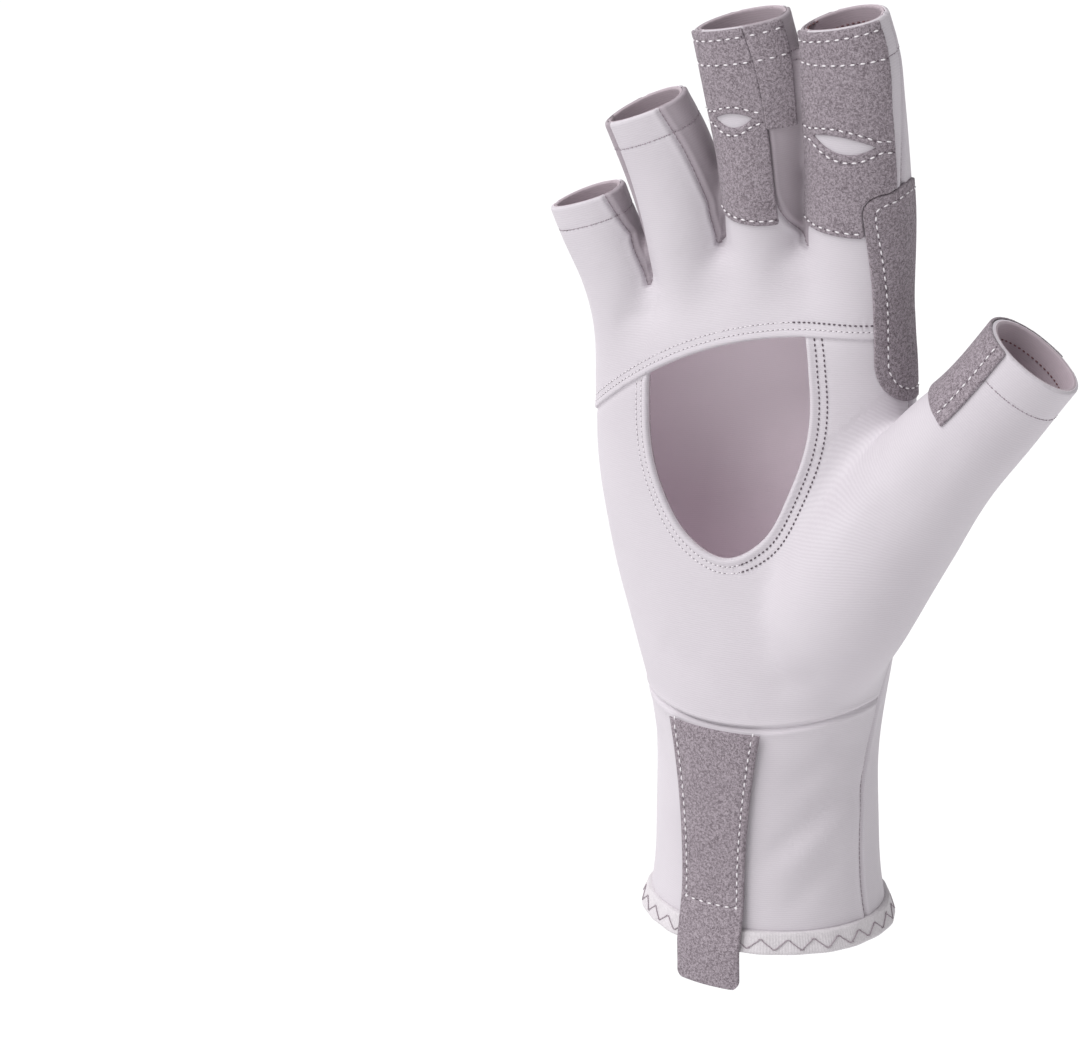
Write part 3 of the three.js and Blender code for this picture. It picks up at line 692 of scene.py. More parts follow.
def divided(data, faces, labels, marks, shares):
    """Faces split at the marked edges, with every column of data mixed at the new points."""
    count = len(data)
    keys = marks[:, 0] * count + marks[:, 1]
    order = np.argsort(keys)
    keys, marks, shares = keys[order], marks[order], shares[order]
    fresh = mix(data[marks[:, 0]], data[marks[:, 1]], shares[:, None])
    pairs = np.sort(faces[:, [[0, 1], [1, 2], [2, 0]]], axis=2)
    wanted = pairs[..., 0] * count + pairs[..., 1]
    place = np.clip(np.searchsorted(keys, wanted), 0, len(keys) - 1)
    middle = np.where(keys[place] == wanted, count + place, -1)
    split = middle >= 0
    number = split.sum(axis=1)
    made = [faces[number == 0]]
    tags = [labels[number == 0]]

    def turned(which, first):
        """Faces and their middles, turned so that a given edge comes first."""
        turn = (first[:, None] + np.arange(3)) % 3
        rows = np.where(which)[0][:, None]
        return faces[rows, turn], middle[rows, turn]

    one = number == 1
    if one.any():
        f, m = turned(one, np.argmax(split[one], axis=1))
        made += [
            np.column_stack([f[:, 0], m[:, 0], f[:, 2]]),
            np.column_stack([m[:, 0], f[:, 1], f[:, 2]]),
        ]
        tags += [labels[one]] * 2
    two = number == 2
    if two.any():
        f, m = turned(two, (np.argmin(split[two], axis=1) + 1) % 3)
        made += [
            np.column_stack([m[:, 0], f[:, 1], m[:, 1]]),
            np.column_stack([f[:, 0], m[:, 0], m[:, 1]]),
            np.column_stack([f[:, 0], m[:, 1], f[:, 2]]),
        ]
        tags += [labels[two]] * 3
    three = number == 3
    if three.any():
        f, m = faces[three], middle[three]
        made += [
            np.column_stack([f[:, 0], m[:, 0], m[:, 2]]),
            np.column_stack([m[:, 0], f[:, 1], m[:, 1]]),
            np.column_stack([m[:, 2], m[:, 1], f[:, 2]]),
            m,
        ]
        tags += [labels[three]] * 4
    return np.vstack([data, fresh]), np.vstack(made), np.concatenate(tags)


SNAP = 0.16


def cut(data, faces, labels, column, label, fresh):
    """Splits the faces with one label where a column of data changes sign. The faces
    on the positive side get the fresh label."""
    active = faces[labels == label]
    if not len(active):
        return data, faces, labels
    edges = edges_of(active)
    a, b = edges.T
    fa, fb = data[a, column], data[b, column]
    cross = fa * fb < 0
    a, b, fa, fb = a[cross], b[cross], fa[cross], fb[cross]
    t = fa / (fa - fb)
    near = np.minimum(t, 1 - t)
    pick = np.argsort(-near)
    pick = pick[near[pick] < SNAP]
    data = data.copy()
    ends = np.where(t < 0.5, a, b)[pick]
    data[ends] = mix(data[a[pick]], data[b[pick]], t[pick][:, None])
    data[ends, column] = 0.0
    fa, fb = data[a, column], data[b, column]
    cross = fa * fb < 0
    a, b, fa, fb = a[cross], b[cross], fa[cross], fb[cross]
    if len(a):
        marks = np.column_stack([a, b])
        first = len(data)
        data, faces, labels = divided(data, faces, labels, marks, fa / (fa - fb))
        data[first:, column] = 0.0
    side = data[faces, column].sum(axis=1)
    labels = labels.copy()
    labels[(labels == label) & (side > 0)] = fresh
    return data, faces, labels


def kept(data, faces, labels, which):
    """Only the chosen faces, with their own points."""
    faces = faces[which]
    used, index = np.unique(faces, return_inverse=True)
    return data[used], index.reshape(-1, 3), labels[which]


def largest(data, faces):
    """The biggest group of faces that hang together, with its own points."""
    group = np.arange(len(data))
    while True:
        lowest = group.copy()
        np.minimum.at(lowest, faces.ravel(), np.repeat(group[faces].min(axis=1), 3))
        if (lowest == group).all():
            break
        group = lowest
    tags = group[faces[:, 0]]
    data, faces, _ = kept(data, faces, tags, tags == np.bincount(tags).argmax())
    return data, faces


def border(faces):
    """Directed edges that have a face on one side only."""
    pairs = faces[:, [0, 1, 1, 2, 2, 0]].reshape(-1, 2)
    size = faces.max() + 1
    there = pairs[:, 0] * size + pairs[:, 1]
    back = pairs[:, 1] * size + pairs[:, 0]
    return pairs[~np.isin(there, back)]


def label_borders(faces, labels):
    """Edges between faces of different labels."""
    pairs = np.sort(faces[:, [0, 1, 1, 2, 2, 0]].reshape(-1, 2), axis=1)
    tags = np.repeat(labels, 3)
    size = faces.max() + 1
    keys = pairs[:, 0] * size + pairs[:, 1]
    order = np.argsort(keys, kind="stable")
    keys, tags = keys[order], tags[order]
    same = keys[1:] == keys[:-1]
    differ = same & (tags[1:] != tags[:-1])
    found = keys[1:][differ]
    return np.column_stack([found // size, found % size])


def line_points(points, edges, step=0.00015):
    """Points set closely along edges."""
    if not len(edges):
        return np.zeros((0, 3))
    a, b = points[edges[:, 0]], points[edges[:, 1]]
    count = int(np.ceil(np.linalg.norm(b - a, axis=1).max() / step)) + 1
    t = np.linspace(0, 1, count)[None, :, None]
    return (a[:, None] * (1 - t) + b[:, None] * t).reshape(-1, 3)


def distances(points, targets, reach):
    """Distance from each point to the nearest target, up to a reach."""
    result = np.full(len(points), reach)
    if not len(targets):
        return result
    low, high = targets.min(0) - reach, targets.max(0) + reach
    near = np.where(((points > low) & (points < high)).all(axis=1))[0]
    tree = KDTree(len(targets))
    for i, target in enumerate(targets):
        tree.insert(target, i)
    tree.balance()
    for i in near:
        result[i] = min(tree.find(points[i])[2], reach)
    return result


def refined(data, faces, labels, targets, reach, limit):
    """Edges that pass near the targets split until they are short."""
    for _ in range(5):
        edges = edges_of(faces)
        a, b = data[edges[:, 0], :3], data[edges[:, 1], :3]
        long = np.linalg.norm(b - a, axis=1) > limit
        edges = edges[long]
        if not len(edges):
            break
        ends = distances(data[:, :3], targets, reach)[edges].min(axis=1)
        away = np.minimum(ends, distances((a[long] + b[long]) / 2, targets, reach))
        edges = edges[away < reach * 0.999]
        if not len(edges):
            break
        data, faces, labels = divided(data, faces, labels, edges, np.full(len(edges), 0.5))
    return data, faces, labels


def finer(points, faces, limit, close=None):
    """Long edges halved, with the new points set on the curved form."""
    for _ in range(4):
        normals = normals_of(points, faces)
        edges = edges_of(faces)
        ends = points[edges]
        middle = ends.mean(axis=1)
        chosen = np.linalg.norm(ends[:, 1] - ends[:, 0], axis=1) > limit
        if close is not None:
            chosen &= close(middle)
        if not chosen.any():
            break
        edges, ends, middle = edges[chosen], ends[chosen], middle[chosen]
        up = normals[edges]
        lift = (((ends - middle[:, None]) * up).sum(axis=2)[..., None] * up).mean(axis=1)
        count = len(points)
        halves = np.full(len(edges), 0.5)
        points, faces, _ = divided(points, faces, np.zeros(len(faces), int), edges, halves)
        points[count:] = middle + 0.6 * lift
    return points, faces


def shelled(outer, inner, faces):
    """A closed wall between an outer and an inner surface with the same faces."""
    count = len(outer)
    rim = border(faces)
    a, b = rim.T
    return np.vstack([outer, inner]), np.vstack([
        faces,
        faces[:, ::-1] + count,
        np.column_stack([b, a, a + count]),
        np.column_stack([b, a + count, b + count]),
    ])


def walked(near, starts):
    """Chains of neighbouring points, each begun at the next start that is still free."""
    seen = set()
    for start in starts:
        if start in seen:
            continue
        chain = [start]
        seen.add(start)
        while True:
            ahead = [i for i in near[chain[-1]] if i not in seen]
            if not ahead:
                break
            chain.append(ahead[0])
            seen.add(ahead[0])
        yield chain


def contour(points, normals, faces, values, level, mask=None):
    """Lines on a surface where values reach a level, as arrays of points and normals."""
    v = values - level
    v = np.where(v == 0, 1e-12, v)
    above = v[faces] > 0
    mixed = above.any(axis=1) & ~above.all(axis=1)
    pairs = faces[mixed][:, [[0, 1], [1, 2], [2, 0]]]
    crossing = (v[pairs[..., 0]] > 0) != (v[pairs[..., 1]] > 0)
    pairs = np.sort(pairs[crossing].reshape(-1, 2, 2), axis=2)
    keys = pairs[..., 0] * len(points) + pairs[..., 1]
    ends, links = np.unique(keys, return_inverse=True)
    links = links.reshape(-1, 2)
    a, b = ends // len(points), ends % len(points)
    t = (v[a] / (v[a] - v[b]))[:, None]
    rows = np.hstack([mix(points[a], points[b], t), mix(normals[a], normals[b], t)])
    good = np.ones(len(rows), bool) if mask is None else mix(mask[a], mask[b], t[:, 0]) > 0
    near = [[] for _ in rows]
    for one, other in links:
        if good[one] and good[other]:
            near[one].append(other)
            near[other].append(one)
    starts = [i for i in range(len(rows)) if len(near[i]) == 1]
    starts += [i for i in range(len(rows)) if len(near[i]) > 1]
    lines = []
    for chain in walked(near, starts):
        if len(chain) > 4:
            if chain[0] in near[chain[-1]] and len(near[chain[0]]) > 1:
                chain.append(chain[0])
            lines.append(even_line(rows[chain]))
    return [line for line in lines if line is not None]


def even_line(rows, step=0.3 * MM):
    """A line with even steps and its jitter smoothed away."""
    for _ in range(6):
        rows[1:-1] = rows[1:-1] * 0.5 + (rows[:-2] + rows[2:]) * 0.25
    along = np.concatenate([[0], np.cumsum(np.linalg.norm(np.diff(rows[:, :3], axis=0), axis=1))])
    if along[-1] < 3 * step:
        return None
    at = np.linspace(0, along[-1], max(int(along[-1] / step), 3))
    return np.stack([np.interp(at, along, rows[:, i]) for i in range(6)], axis=1)


def row_dip(values, level, depth, width=0.42 * MM):
    """The dip that a row of stitches pulls into the cloth."""
    return depth * bell(values - level, width)


# How the form is drawn and smoothed: how far it runs below the cuff and past each mouth,
# counts of sections and points, rounds of even smoothing before and after the blending
# ones, and the longest edge left in all and near the slits
DRAWING = {
    "below": -0.008,
    "past": 1.08,
    "hand_sections": 120,
    "hand_points": 144,
    "limb_sections": 70,
    "limb_points": 72,
    "rounds": (6, 160, 4),
    "edge": 3.2 * MM,
    "slit_edge": 0.9 * MM,
    "slit_reach": 12 * MM,
}

# Where the form is blended strongly: along the knuckles' slanting line, and at the heel
KNUCKLES = {"height": 0.168, "slope": 0.35, "from": -0.01, "reach": 0.022}
HEEL = {"side": 0.036, "height": 0.118, "wide": 0.02, "high": 0.036}
LEAST_BLEND, MOST_BLEND = 0.06, 0.5

# Where it is kept sharp: at the webs and between thumb and hand
WEB = {"squash": (1, 0.4, 1), "reach": 0.011, "keep": 0.9}
CROTCH = {"place": (0.049, -0.006, 0.158), "squash": (1, 0.5, 1), "reach": 0.010, "keep": 0.8}

# Shares of the palm's breadth and the wrist's: where the arc seam starts to fall and how
# far it runs, how far the wrist seam runs, and their powers
ARC = {"start": 0.325, "reach": 0.78, "power": 2.35}
WRIST = {"reach": 0.64, "most": 1.2}

# The value of a field where it doesn't apply
FAR = 0.05

# Which limb a place near the mouths belongs to: between which shares up a limb and how
# near its surface it has to lie, and from where on the inside counts as well
OWNING = {"from": 0.4, "to": 1.3, "near": 0.5, "mouth": 0.97}
NOBODY = 9

# How far round the thumb the lower palm goes: out from its middle, and past its mouth
THUMB_ZONE = {"out": 1.1, "up": 1.4}

# A strip between two fingers: share of its lap below the web, power of its taper, height
# over which it is narrow at the web, and how far past the finger's side, the web's
# middle, and the finger's depth it may lie
STRIP = {
    "lap": 0.2,
    "power": 1.7,
    "low": 12 * MM,
    "past_side": 2.5 * MM,
    "past_middle": 0.9 * MM,
    "deep": 4 * MM,
}

# The palm opening: half its height as a share of its length, and its count of points
OPENING = {"half": 0.6, "points": 180}


class Skin:
    """The smooth form of the worn glove, with the lines that its pieces are cut along."""

    def __init__(self, form, cutting):
        self.form = form
        self.cutting = cutting
        self.body = Body(form)
        self.limbs = make_limbs(form)

    def make_form(self):
        """Body and limbs joined, run out past every mouth, and smoothed."""
        form, drawing = self.form, DRAWING
        rise = np.linspace(0, form.knuckle_height, drawing["hand_sections"])
        heights = np.concatenate([[drawing["below"]], rise])
        rings = self.body.ring(np.maximum(heights, 0), around(drawing["hand_points"]))
        rings[0, :, 2] = drawing["below"]
        solids = [drawn(rings)]
        for limb in self.limbs.values():
            ups = np.linspace(limb.ups[0], drawing["past"], drawing["limb_sections"])
            solids.append(drawn(limb.ring(ups, around(drawing["limb_points"]))))
        points, faces = remeshed(*joined(solids), form.voxel)
        every = np.full(len(points), 0.5)
        before, blending, after = drawing["rounds"]
        points = relaxed(points, faces, every, before)
        points = relaxed(points, faces, self.blend_weights(points), blending)
        points = relaxed(points, faces, every, after)
        points, faces = finer(*thinned(points, faces, form.keep), drawing["edge"])
        return finer(points, faces, drawing["slit_edge"], self.near_slits)

    def near_slits(self, points):
        """Whether points lie close to a slit in the suede."""
        close = np.zeros(len(points), bool)
        for name in SLITS:
            limb = self.limbs[name]
            up = 1 - getattr(self.cutting, name + "_eyelet") / limb.reach
            x, y, z = (points - limb.at([up])["centre"]).T
            close |= (np.hypot(x, z) < DRAWING["slit_reach"]) & (y < 0)
        return close

    def blend_weights(self, points):
        """Strong smoothing where fingers and thumb grow out of the hand, and little at
        the webs and mouths."""
        x, y, z = points.T
        fall = KNUCKLES["slope"] * np.minimum(x - KNUCKLES["from"], 0)
        knuckles = bell(z - KNUCKLES["height"] - fall, KNUCKLES["reach"])
        heel = np.exp(
            -(((x - HEEL["side"]) / HEEL["wide"]) ** 2)
            - ((z - HEEL["height"]) / HEEL["high"]) ** 2
        )
        weights = LEAST_BLEND + MOST_BLEND * np.maximum(knuckles, heel)
        for strip in STRIPS:
            away = np.linalg.norm((points - self.web_point(strip)) * WEB["squash"], axis=1)
            weights *= 1 - WEB["keep"] * bell(away, WEB["reach"])
        away = np.linalg.norm((points - CROTCH["place"]) * CROTCH["squash"], axis=1)
        return weights * (1 - CROTCH["keep"] * bell(away, CROTCH["reach"]))

    def web_point(self, strip):
        """The middle of the web between a strip's two fingers."""
        height = strip["web"] * self.form.knuckle_height
        places = []
        for seam in strip["seams"]:
            limb = self.limbs[seam["finger"]]
            line = limb.sections["centre"]
            places.append(np.array([np.interp(height, line[:, 2], line[:, i]) for i in range(3)]))
        return (places[0] + places[1]) / 2

    def arc_height(self, x):
        """Height of the arc seam between upper and lower palm."""
        form, cutting = self.form, self.cutting
        reach = form.palm_breadth * ARC["reach"]
        run = np.maximum(0, form.palm_breadth * ARC["start"] - x) / reach
        return form.knuckle_height - cutting.arc_below - cutting.arc_drop * run ** ARC["power"]

    def wrist_height(self, x):
        """Height of the wrist seam between lower palm and cuff."""
        form, cutting = self.form, self.cutting
        run = (x - cutting.tab_shift) / (form.wrist_breadth * WRIST["reach"])
        return form.cuff_length + cutting.wrist_rise * np.minimum(run ** 2, WRIST["most"])

    def seam_depth(self, z):
        """Where the side seam lies in depth."""
        form = self.form
        heights = np.array([row["height"] * form.knuckle_height for row in SIDE_SEAM])
        depths = np.array([
            -row["fore"] * form.palm_depth - row["curl"] * form.finger_curl for row in SIDE_SEAM
        ])
        return through(z, heights, depths)

    def opening_outline(self):
        """The palm opening's outline, seen from the palm."""
        form, cutting = self.form, self.cutting
        half_height = cutting.opening_length * OPENING["half"]
        middle = form.knuckle_height - cutting.arc_below - cutting.opening_length + half_height
        rows = OPENING_OUTLINE + OPENING_OUTLINE[:1]
        corners = np.array([
            [
                cutting.opening_shift + row["side"] * cutting.opening_breadth / 2,
                middle + row["up"] * half_height,
            ]
            for row in rows
        ])
        ring = np.vstack([corners[-4:-1], corners, corners[1:4]])
        steps = np.sqrt(np.linalg.norm(np.diff(ring, axis=0), axis=1))
        places = np.concatenate([[0], np.cumsum(steps)])
        ends = places[3], places[3 + len(OPENING_OUTLINE)]
        at = np.linspace(*ends, OPENING["points"] + 1)[:-1]
        return through(at, places, ring)

    def fields(self, points):
        """Signed distances that the pieces are cut along."""
        x, y, z = points.T
        local = {name: limb.local(points) for name, limb in self.limbs.items()}
        opening = signed_outline(np.column_stack([x, z]), self.opening_outline())
        fields = {
            "side": self.seam_depth(z) - y,
            "arc": z - self.arc_height(x),
            "wrist": z - self.wrist_height(x),
            "hem": z - self.cutting.cuff_hem,
            "opening": np.minimum(opening, -y * 2),
            "past": self.past_mouths(local, z),
        }
        thumb = local["thumb"]
        zone = (THUMB_ZONE["out"] - thumb["out"]) * thumb["half_width"]
        off = (thumb["up"] > THUMB_ZONE["up"]) | (z < self.form.cuff_length)
        fields["side"] = np.maximum(fields["side"], np.where(off, -FAR, zone))
        for strip in STRIPS:
            fields[strip["name"]] = self.strip_field(strip, local)
        return fields

    def past_mouths(self, local, z):
        """How far past the nearest mouth points lie."""
        names = list(self.limbs)
        apart = np.stack([np.abs(local[name]["out"] - 1) for name in names])
        for i, name in enumerate(names):
            up, out = local[name]["up"], local[name]["out"]
            apart[i] = np.where(up > OWNING["mouth"], np.maximum(out - 1, 0), apart[i])
            apart[i, (up < OWNING["from"]) | (up > OWNING["to"])] = NOBODY
        owner = np.argmin(apart, axis=0)
        past = np.full(len(z), -FAR)
        for i, name in enumerate(names):
            own = (owner == i) & (apart[i] < OWNING["near"])
            past[own] = local[name]["past"][own]
        return np.maximum(past, -z)

    def strip_field(self, strip, local):
        """How far inside the strip between two fingers points lie."""
        form, cutting = self.form, self.cutting
        sides = []
        web = self.web_point(strip)[None]
        for seam in strip["seams"]:
            name = seam["finger"]
            at = local[name]
            middle = self.limbs[name].local(web)["across"][0] * seam["side"]
            root = FINGER_ROOTS[name] * form.knuckle_height
            reach = getattr(form, name + "_reach")
            foot = strip["web"] * form.knuckle_height - STRIP["lap"] * cutting.web_lap
            foot = (foot - root) / (reach - root)
            up = np.clip((at["up"] - foot) / (1 - foot), 0, 1)
            front = mix(seam["front_root"], seam["front_tip"], up)
            height = (at["up"] - foot) * (reach - root)
            close = (1 - np.clip(height / strip["taper"], 0, 1)) ** STRIP["power"]
            near = eased(1 - height / STRIP["low"])
            usual = mix(front, seam["back"], to_back(at)) * at["half_width"]
            place = mix(usual, middle, close)
            out = seam["side"] * at["across"]
            side = at["half_width"] + STRIP["past_side"]
            sides.append(np.minimum.reduce([
                out - place,
                height,
                mix(side, middle + STRIP["past_middle"], near) - out,
                at["half_depth"] + STRIP["deep"] - np.abs(at["deep"]),
            ]))
        return np.maximum(*sides)


def signed_outline(flat, outline):
    """Distance from flat points to a closed outline, positive inside."""
    a = outline
    b = np.roll(outline, -1, axis=0)
    best = np.full(len(flat), 1.0)
    inside = np.zeros(len(flat), bool)
    for (ax, ay), (bx, by) in zip(a, b):
        dx, dy = bx - ax, by - ay
        t = ((flat[:, 0] - ax) * dx + (flat[:, 1] - ay) * dy) / max(dx * dx + dy * dy, 1e-18)
        t = np.clip(t, 0, 1)
        away = np.hypot(flat[:, 0] - ax - t * dx, flat[:, 1] - ay - t * dy)
        best = np.minimum(best, away)
        spans = (ay > flat[:, 1]) != (by > flat[:, 1])
        cross = ax + (flat[:, 1] - ay) * dx / (dy if abs(dy) > 1e-12 else 1e-12)
        inside ^= spans & (flat[:, 0] < cross)
    return np.where(inside, best, -best)


# Folds in the front's cloth: ends as distances to the side and up, width and height of
# each, in millimetres. A fold below zero is a valley
FOLDS = table(
    "from to width height",
    ((46, 154), (20, 124), 4.5, -0.9),
    ((44, 145), (24, 117), 5.0, 0.6),
    ((33, 51), (3, 22), 3.2, -0.75),
    ((31, 42), (8, 17), 3.6, 0.6),
    ((32, 62), (10, 44), 3.4, -0.6),
    ((30, 30), (12, 9), 3.0, -0.5),
    ((-27, 58), (-18, 34), 3.2, -0.6),
    ((28, 84), (6, 75), 4.0, -0.5),
    ((-25, 84), (-6, 76), 4.0, -0.4),
    ((64, 160), (52, 132), 5.0, -0.4),
    ((-40, 170), (-22, 176), 3.0, -0.35),
)

# A fold's bow as a share of its length, the shares over which its ends rise and fall, and
# how fast folds fade at the silhouette
FADE = {"bow": 0.12, "rise": 0.25, "fall": 0.4, "facing": 2.5}

# Slow unevenness of the cloth: two waves over its space, and their height
SWELL = {
    "long": (71.0, 23.0, 113.0),
    "short": (-97.0, 41.0, 83.0),
    "start": 2.0,
    "height": 0.12 * MM,
}


def folded(points, normals):
    """The form with its folds, which fade out at the silhouette and towards the back."""
    x, z = points[:, 0] / MM, points[:, 2] / MM
    rise = np.zeros(len(points))
    for fold in FOLDS:
        (ax, az), (bx, bz) = fold["from"], fold["to"]
        dx, dz = bx - ax, bz - az
        t = ((x - ax) * dx + (z - az) * dz) / (dx * dx + dz * dz)
        bow = FADE["bow"] * np.hypot(dx, dz) * np.clip(t * (1 - t), 0, 0.25)
        away = ((x - ax) * dz - (z - az) * dx) / np.hypot(dx, dz) + bow
        ends = eased(t / FADE["rise"]) * eased((1 - t) / FADE["fall"])
        rise += fold["height"] * MM * ends * bell(away, fold["width"])
    rise *= eased(-normals[:, 1] * FADE["facing"])
    swell = np.sin(points @ SWELL["long"]) * np.sin(points @ SWELL["short"] + SWELL["start"])
    return points + normals * (rise + SWELL["height"] * swell)[:, None]


# What each column of the skin's data holds
COLUMNS = ["x", "y", "z", "nx", "ny", "nz", "past", "hem", "opening", "side", "arc", "wrist"]
COLUMNS += [strip["name"] for strip in STRIPS]
COLUMN = {name: i for i, name in enumerate(COLUMNS)}

# Pieces of cloth that the skin is cut into, and what is dropped
CLOTH = ["back", "upper", "lower", "cuff"] + [strip["name"] for strip in STRIPS]
LABEL = {name: i for i, name in enumerate(CLOTH + ["front", "hole", "away"])}
CLOTH_NODES = {
    "back": "back_panel",
    "upper": "palm_upper",
    "lower": "palm_lower",
    "cuff": "cuff_panel",
}

# Slits in the suede: shift of the slit as a share of the finger's half width, rise
# above and fall below the line between its ends, and fall of that line to the thumb
SLITS = {
    "index": {"shift": 0.0, "rise": 0.0015, "fall": 0.0032, "tilt": 0.0018},
    "middle": {"shift": -0.25, "rise": 0.0014, "fall": 0.0026, "tilt": -0.0015},
}

# How far below its mouth each finger's cloth hem is sewn
HEM_ROWS = {"index": 0.0090, "middle": 0.0090, "ring": 0.0075, "little": 0.0065, "thumb": 0.0095}

# How far to the thumb's side the upper palm reaches
ARC_END = 0.0465

# Reach to each side of a seam or edge within which faces are made fine, and how fine
SEAM_REACH, SEAM_GRAIN = 1.8 * MM, 0.55 * MM
EDGE_REACH, EDGE_GRAIN = 1.2 * MM, 0.5 * MM

MADE = {}
SEAMS = {}


def sew(style, lines):
    """Keeps lines to be sewn in a style of stitch."""
    SEAMS.setdefault(style, []).extend(lines)


def made_skin(context):
    """The skin and its cut pieces, worked out once."""
    if "skin" not in MADE:
        skin = Skin(context.scene.glove_form, context.scene.glove_cut)
        points, faces = skin.make_form()
        fields = skin.fields(points)
        points = folded(points, normals_of(points, faces))
        normals = normals_of(points, faces)
        fields["arc"] = np.minimum(fields["arc"], ARC_END - points[:, 0])
        data = np.column_stack([points, normals] + [fields[name] for name in COLUMNS[6:]])
        labels = np.full(len(faces), LABEL["back"])
        data, faces, labels = cut(
            data, faces, labels, COLUMN["past"], LABEL["back"], LABEL["away"]
        )
        data, faces, labels = kept(data, faces, labels, labels != LABEL["away"])
        MADE["whole"] = (data, faces)
        MADE["pieces"] = cut_cloth(skin, data, faces, labels)
        MADE["skin"] = skin
    return MADE["skin"]


def cut_cloth(skin, data, faces, labels):
    """The trimmed skin cut into its pieces of cloth and made finer along the seams."""
    back, front = LABEL["back"], LABEL["front"]
    under = data.copy()
    under[:, COLUMN["hem"]] = -0.5 * MM - under[:, COLUMN["hem"]]
    data, faces, labels = cut(under, faces, labels, COLUMN["hem"], back, LABEL["away"])
    data, faces, labels = kept(data, faces, labels, labels != LABEL["away"])
    for strip in STRIPS:
        name = strip["name"]
        data, faces, labels = cut(data, faces, labels, COLUMN[name], back, LABEL[name])
    data, faces, labels = cut(data, faces, labels, COLUMN["side"], back, front)
    data, faces, labels = cut(data, faces, labels, COLUMN["arc"], front, LABEL["upper"])
    data, faces, labels = cut(data, faces, labels, COLUMN["wrist"], front, LABEL["lower"])
    labels[labels == front] = LABEL["cuff"]
    data, faces, labels = cut(
        data, faces, labels, COLUMN["opening"], LABEL["lower"], LABEL["hole"]
    )
    data, faces, labels = kept(data, faces, labels, labels != LABEL["hole"])
    seams = label_borders(faces, labels)
    rims = border(faces)
    lines = np.vstack([line_points(data[:, :3], seams), line_points(data[:, :3], rims)])
    return refined(data, faces, labels, lines, SEAM_REACH, SEAM_GRAIN)


def edge_drop(away, radius):
    """How far a surface falls at a rounded edge."""
    part = np.clip(1 - away / radius, 0, 1)
    return radius * (1 - np.sqrt(1 - part ** 2))


def publish(context, name, points, faces, material, node="", slot="", course=None, sharp=50):
    """A finished object that rides on the frame and may stand for a CAD node."""
    mesh = to_mesh(name, points, faces)
    mesh.set_sharp_from_angle(angle=math.radians(sharp))
    if course is not None:
        mesh.attributes.new("course", "FLOAT", "POINT").data.foreach_set("value", course)
        # The inner shell is marked; the light knit paints it with the brightened reverse colour,
        # painted light on the glove's inside
        inner = np.arange(len(points)) >= len(points) // 2
        attribute = mesh.attributes.new("inner", "FLOAT", "POINT")
        attribute.data.foreach_set("value", inner.astype(np.float32))
    mesh.materials.append(material)
    thing = bpy.data.objects.new(name, mesh)
    context.scene.collection.objects.link(thing)
    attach(thing, "root")
    if node:
        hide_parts(node)
    return thing


# Where the knit turns with a limb: from which share up it, over what share, and how near
TURNING = {"thumb": 0.35, "finger": 0.15, "over": 0.4, "near": 0.45}

# Roundness of edges, as shares of their thickness
ROUND = {"cloth": 0.8, "suede": 0.6, "hem": 0.5, "opening": 0.4}


def courses(skin, points):
    """Height along the knit, which turns with the thumb and fingers."""
    course = points[:, 2].copy()
    for name, limb in skin.limbs.items():
        local = limb.local(points)
        start = TURNING["thumb" if name == "thumb" else "finger"]
        near = np.abs(local["out"] - 1) < TURNING["near"]
        own = eased((local["up"] - start) / TURNING["over"]) * near
        along = limb.at([1.0])["centre"][0, 2] + local["past"]
        course = mix(course, along, own)
    return course


def seam_shape(away, cutting):
    """Height of the cloth beside a seam."""
    width = cutting.groove_width
    groove = -cutting.groove * bell(away, width)
    return groove + cutting.shoulder * bell(away - 2.3 * width, 1.2 * width)


# The arc seam and the opening's edge: height and width of the fold above the seam and of
# the dip below it, roundness of the fold's edge, and height, place and width of the lip
FOLD = {"height": 0.45 * MM, "width": 3.5 * MM, "round": 0.6 * MM}
UNDER = {"height": -0.30 * MM, "width": 1.2 * MM}
LIP = {"height": 0.25 * MM, "place": 0.9 * MM, "width": 0.7 * MM}


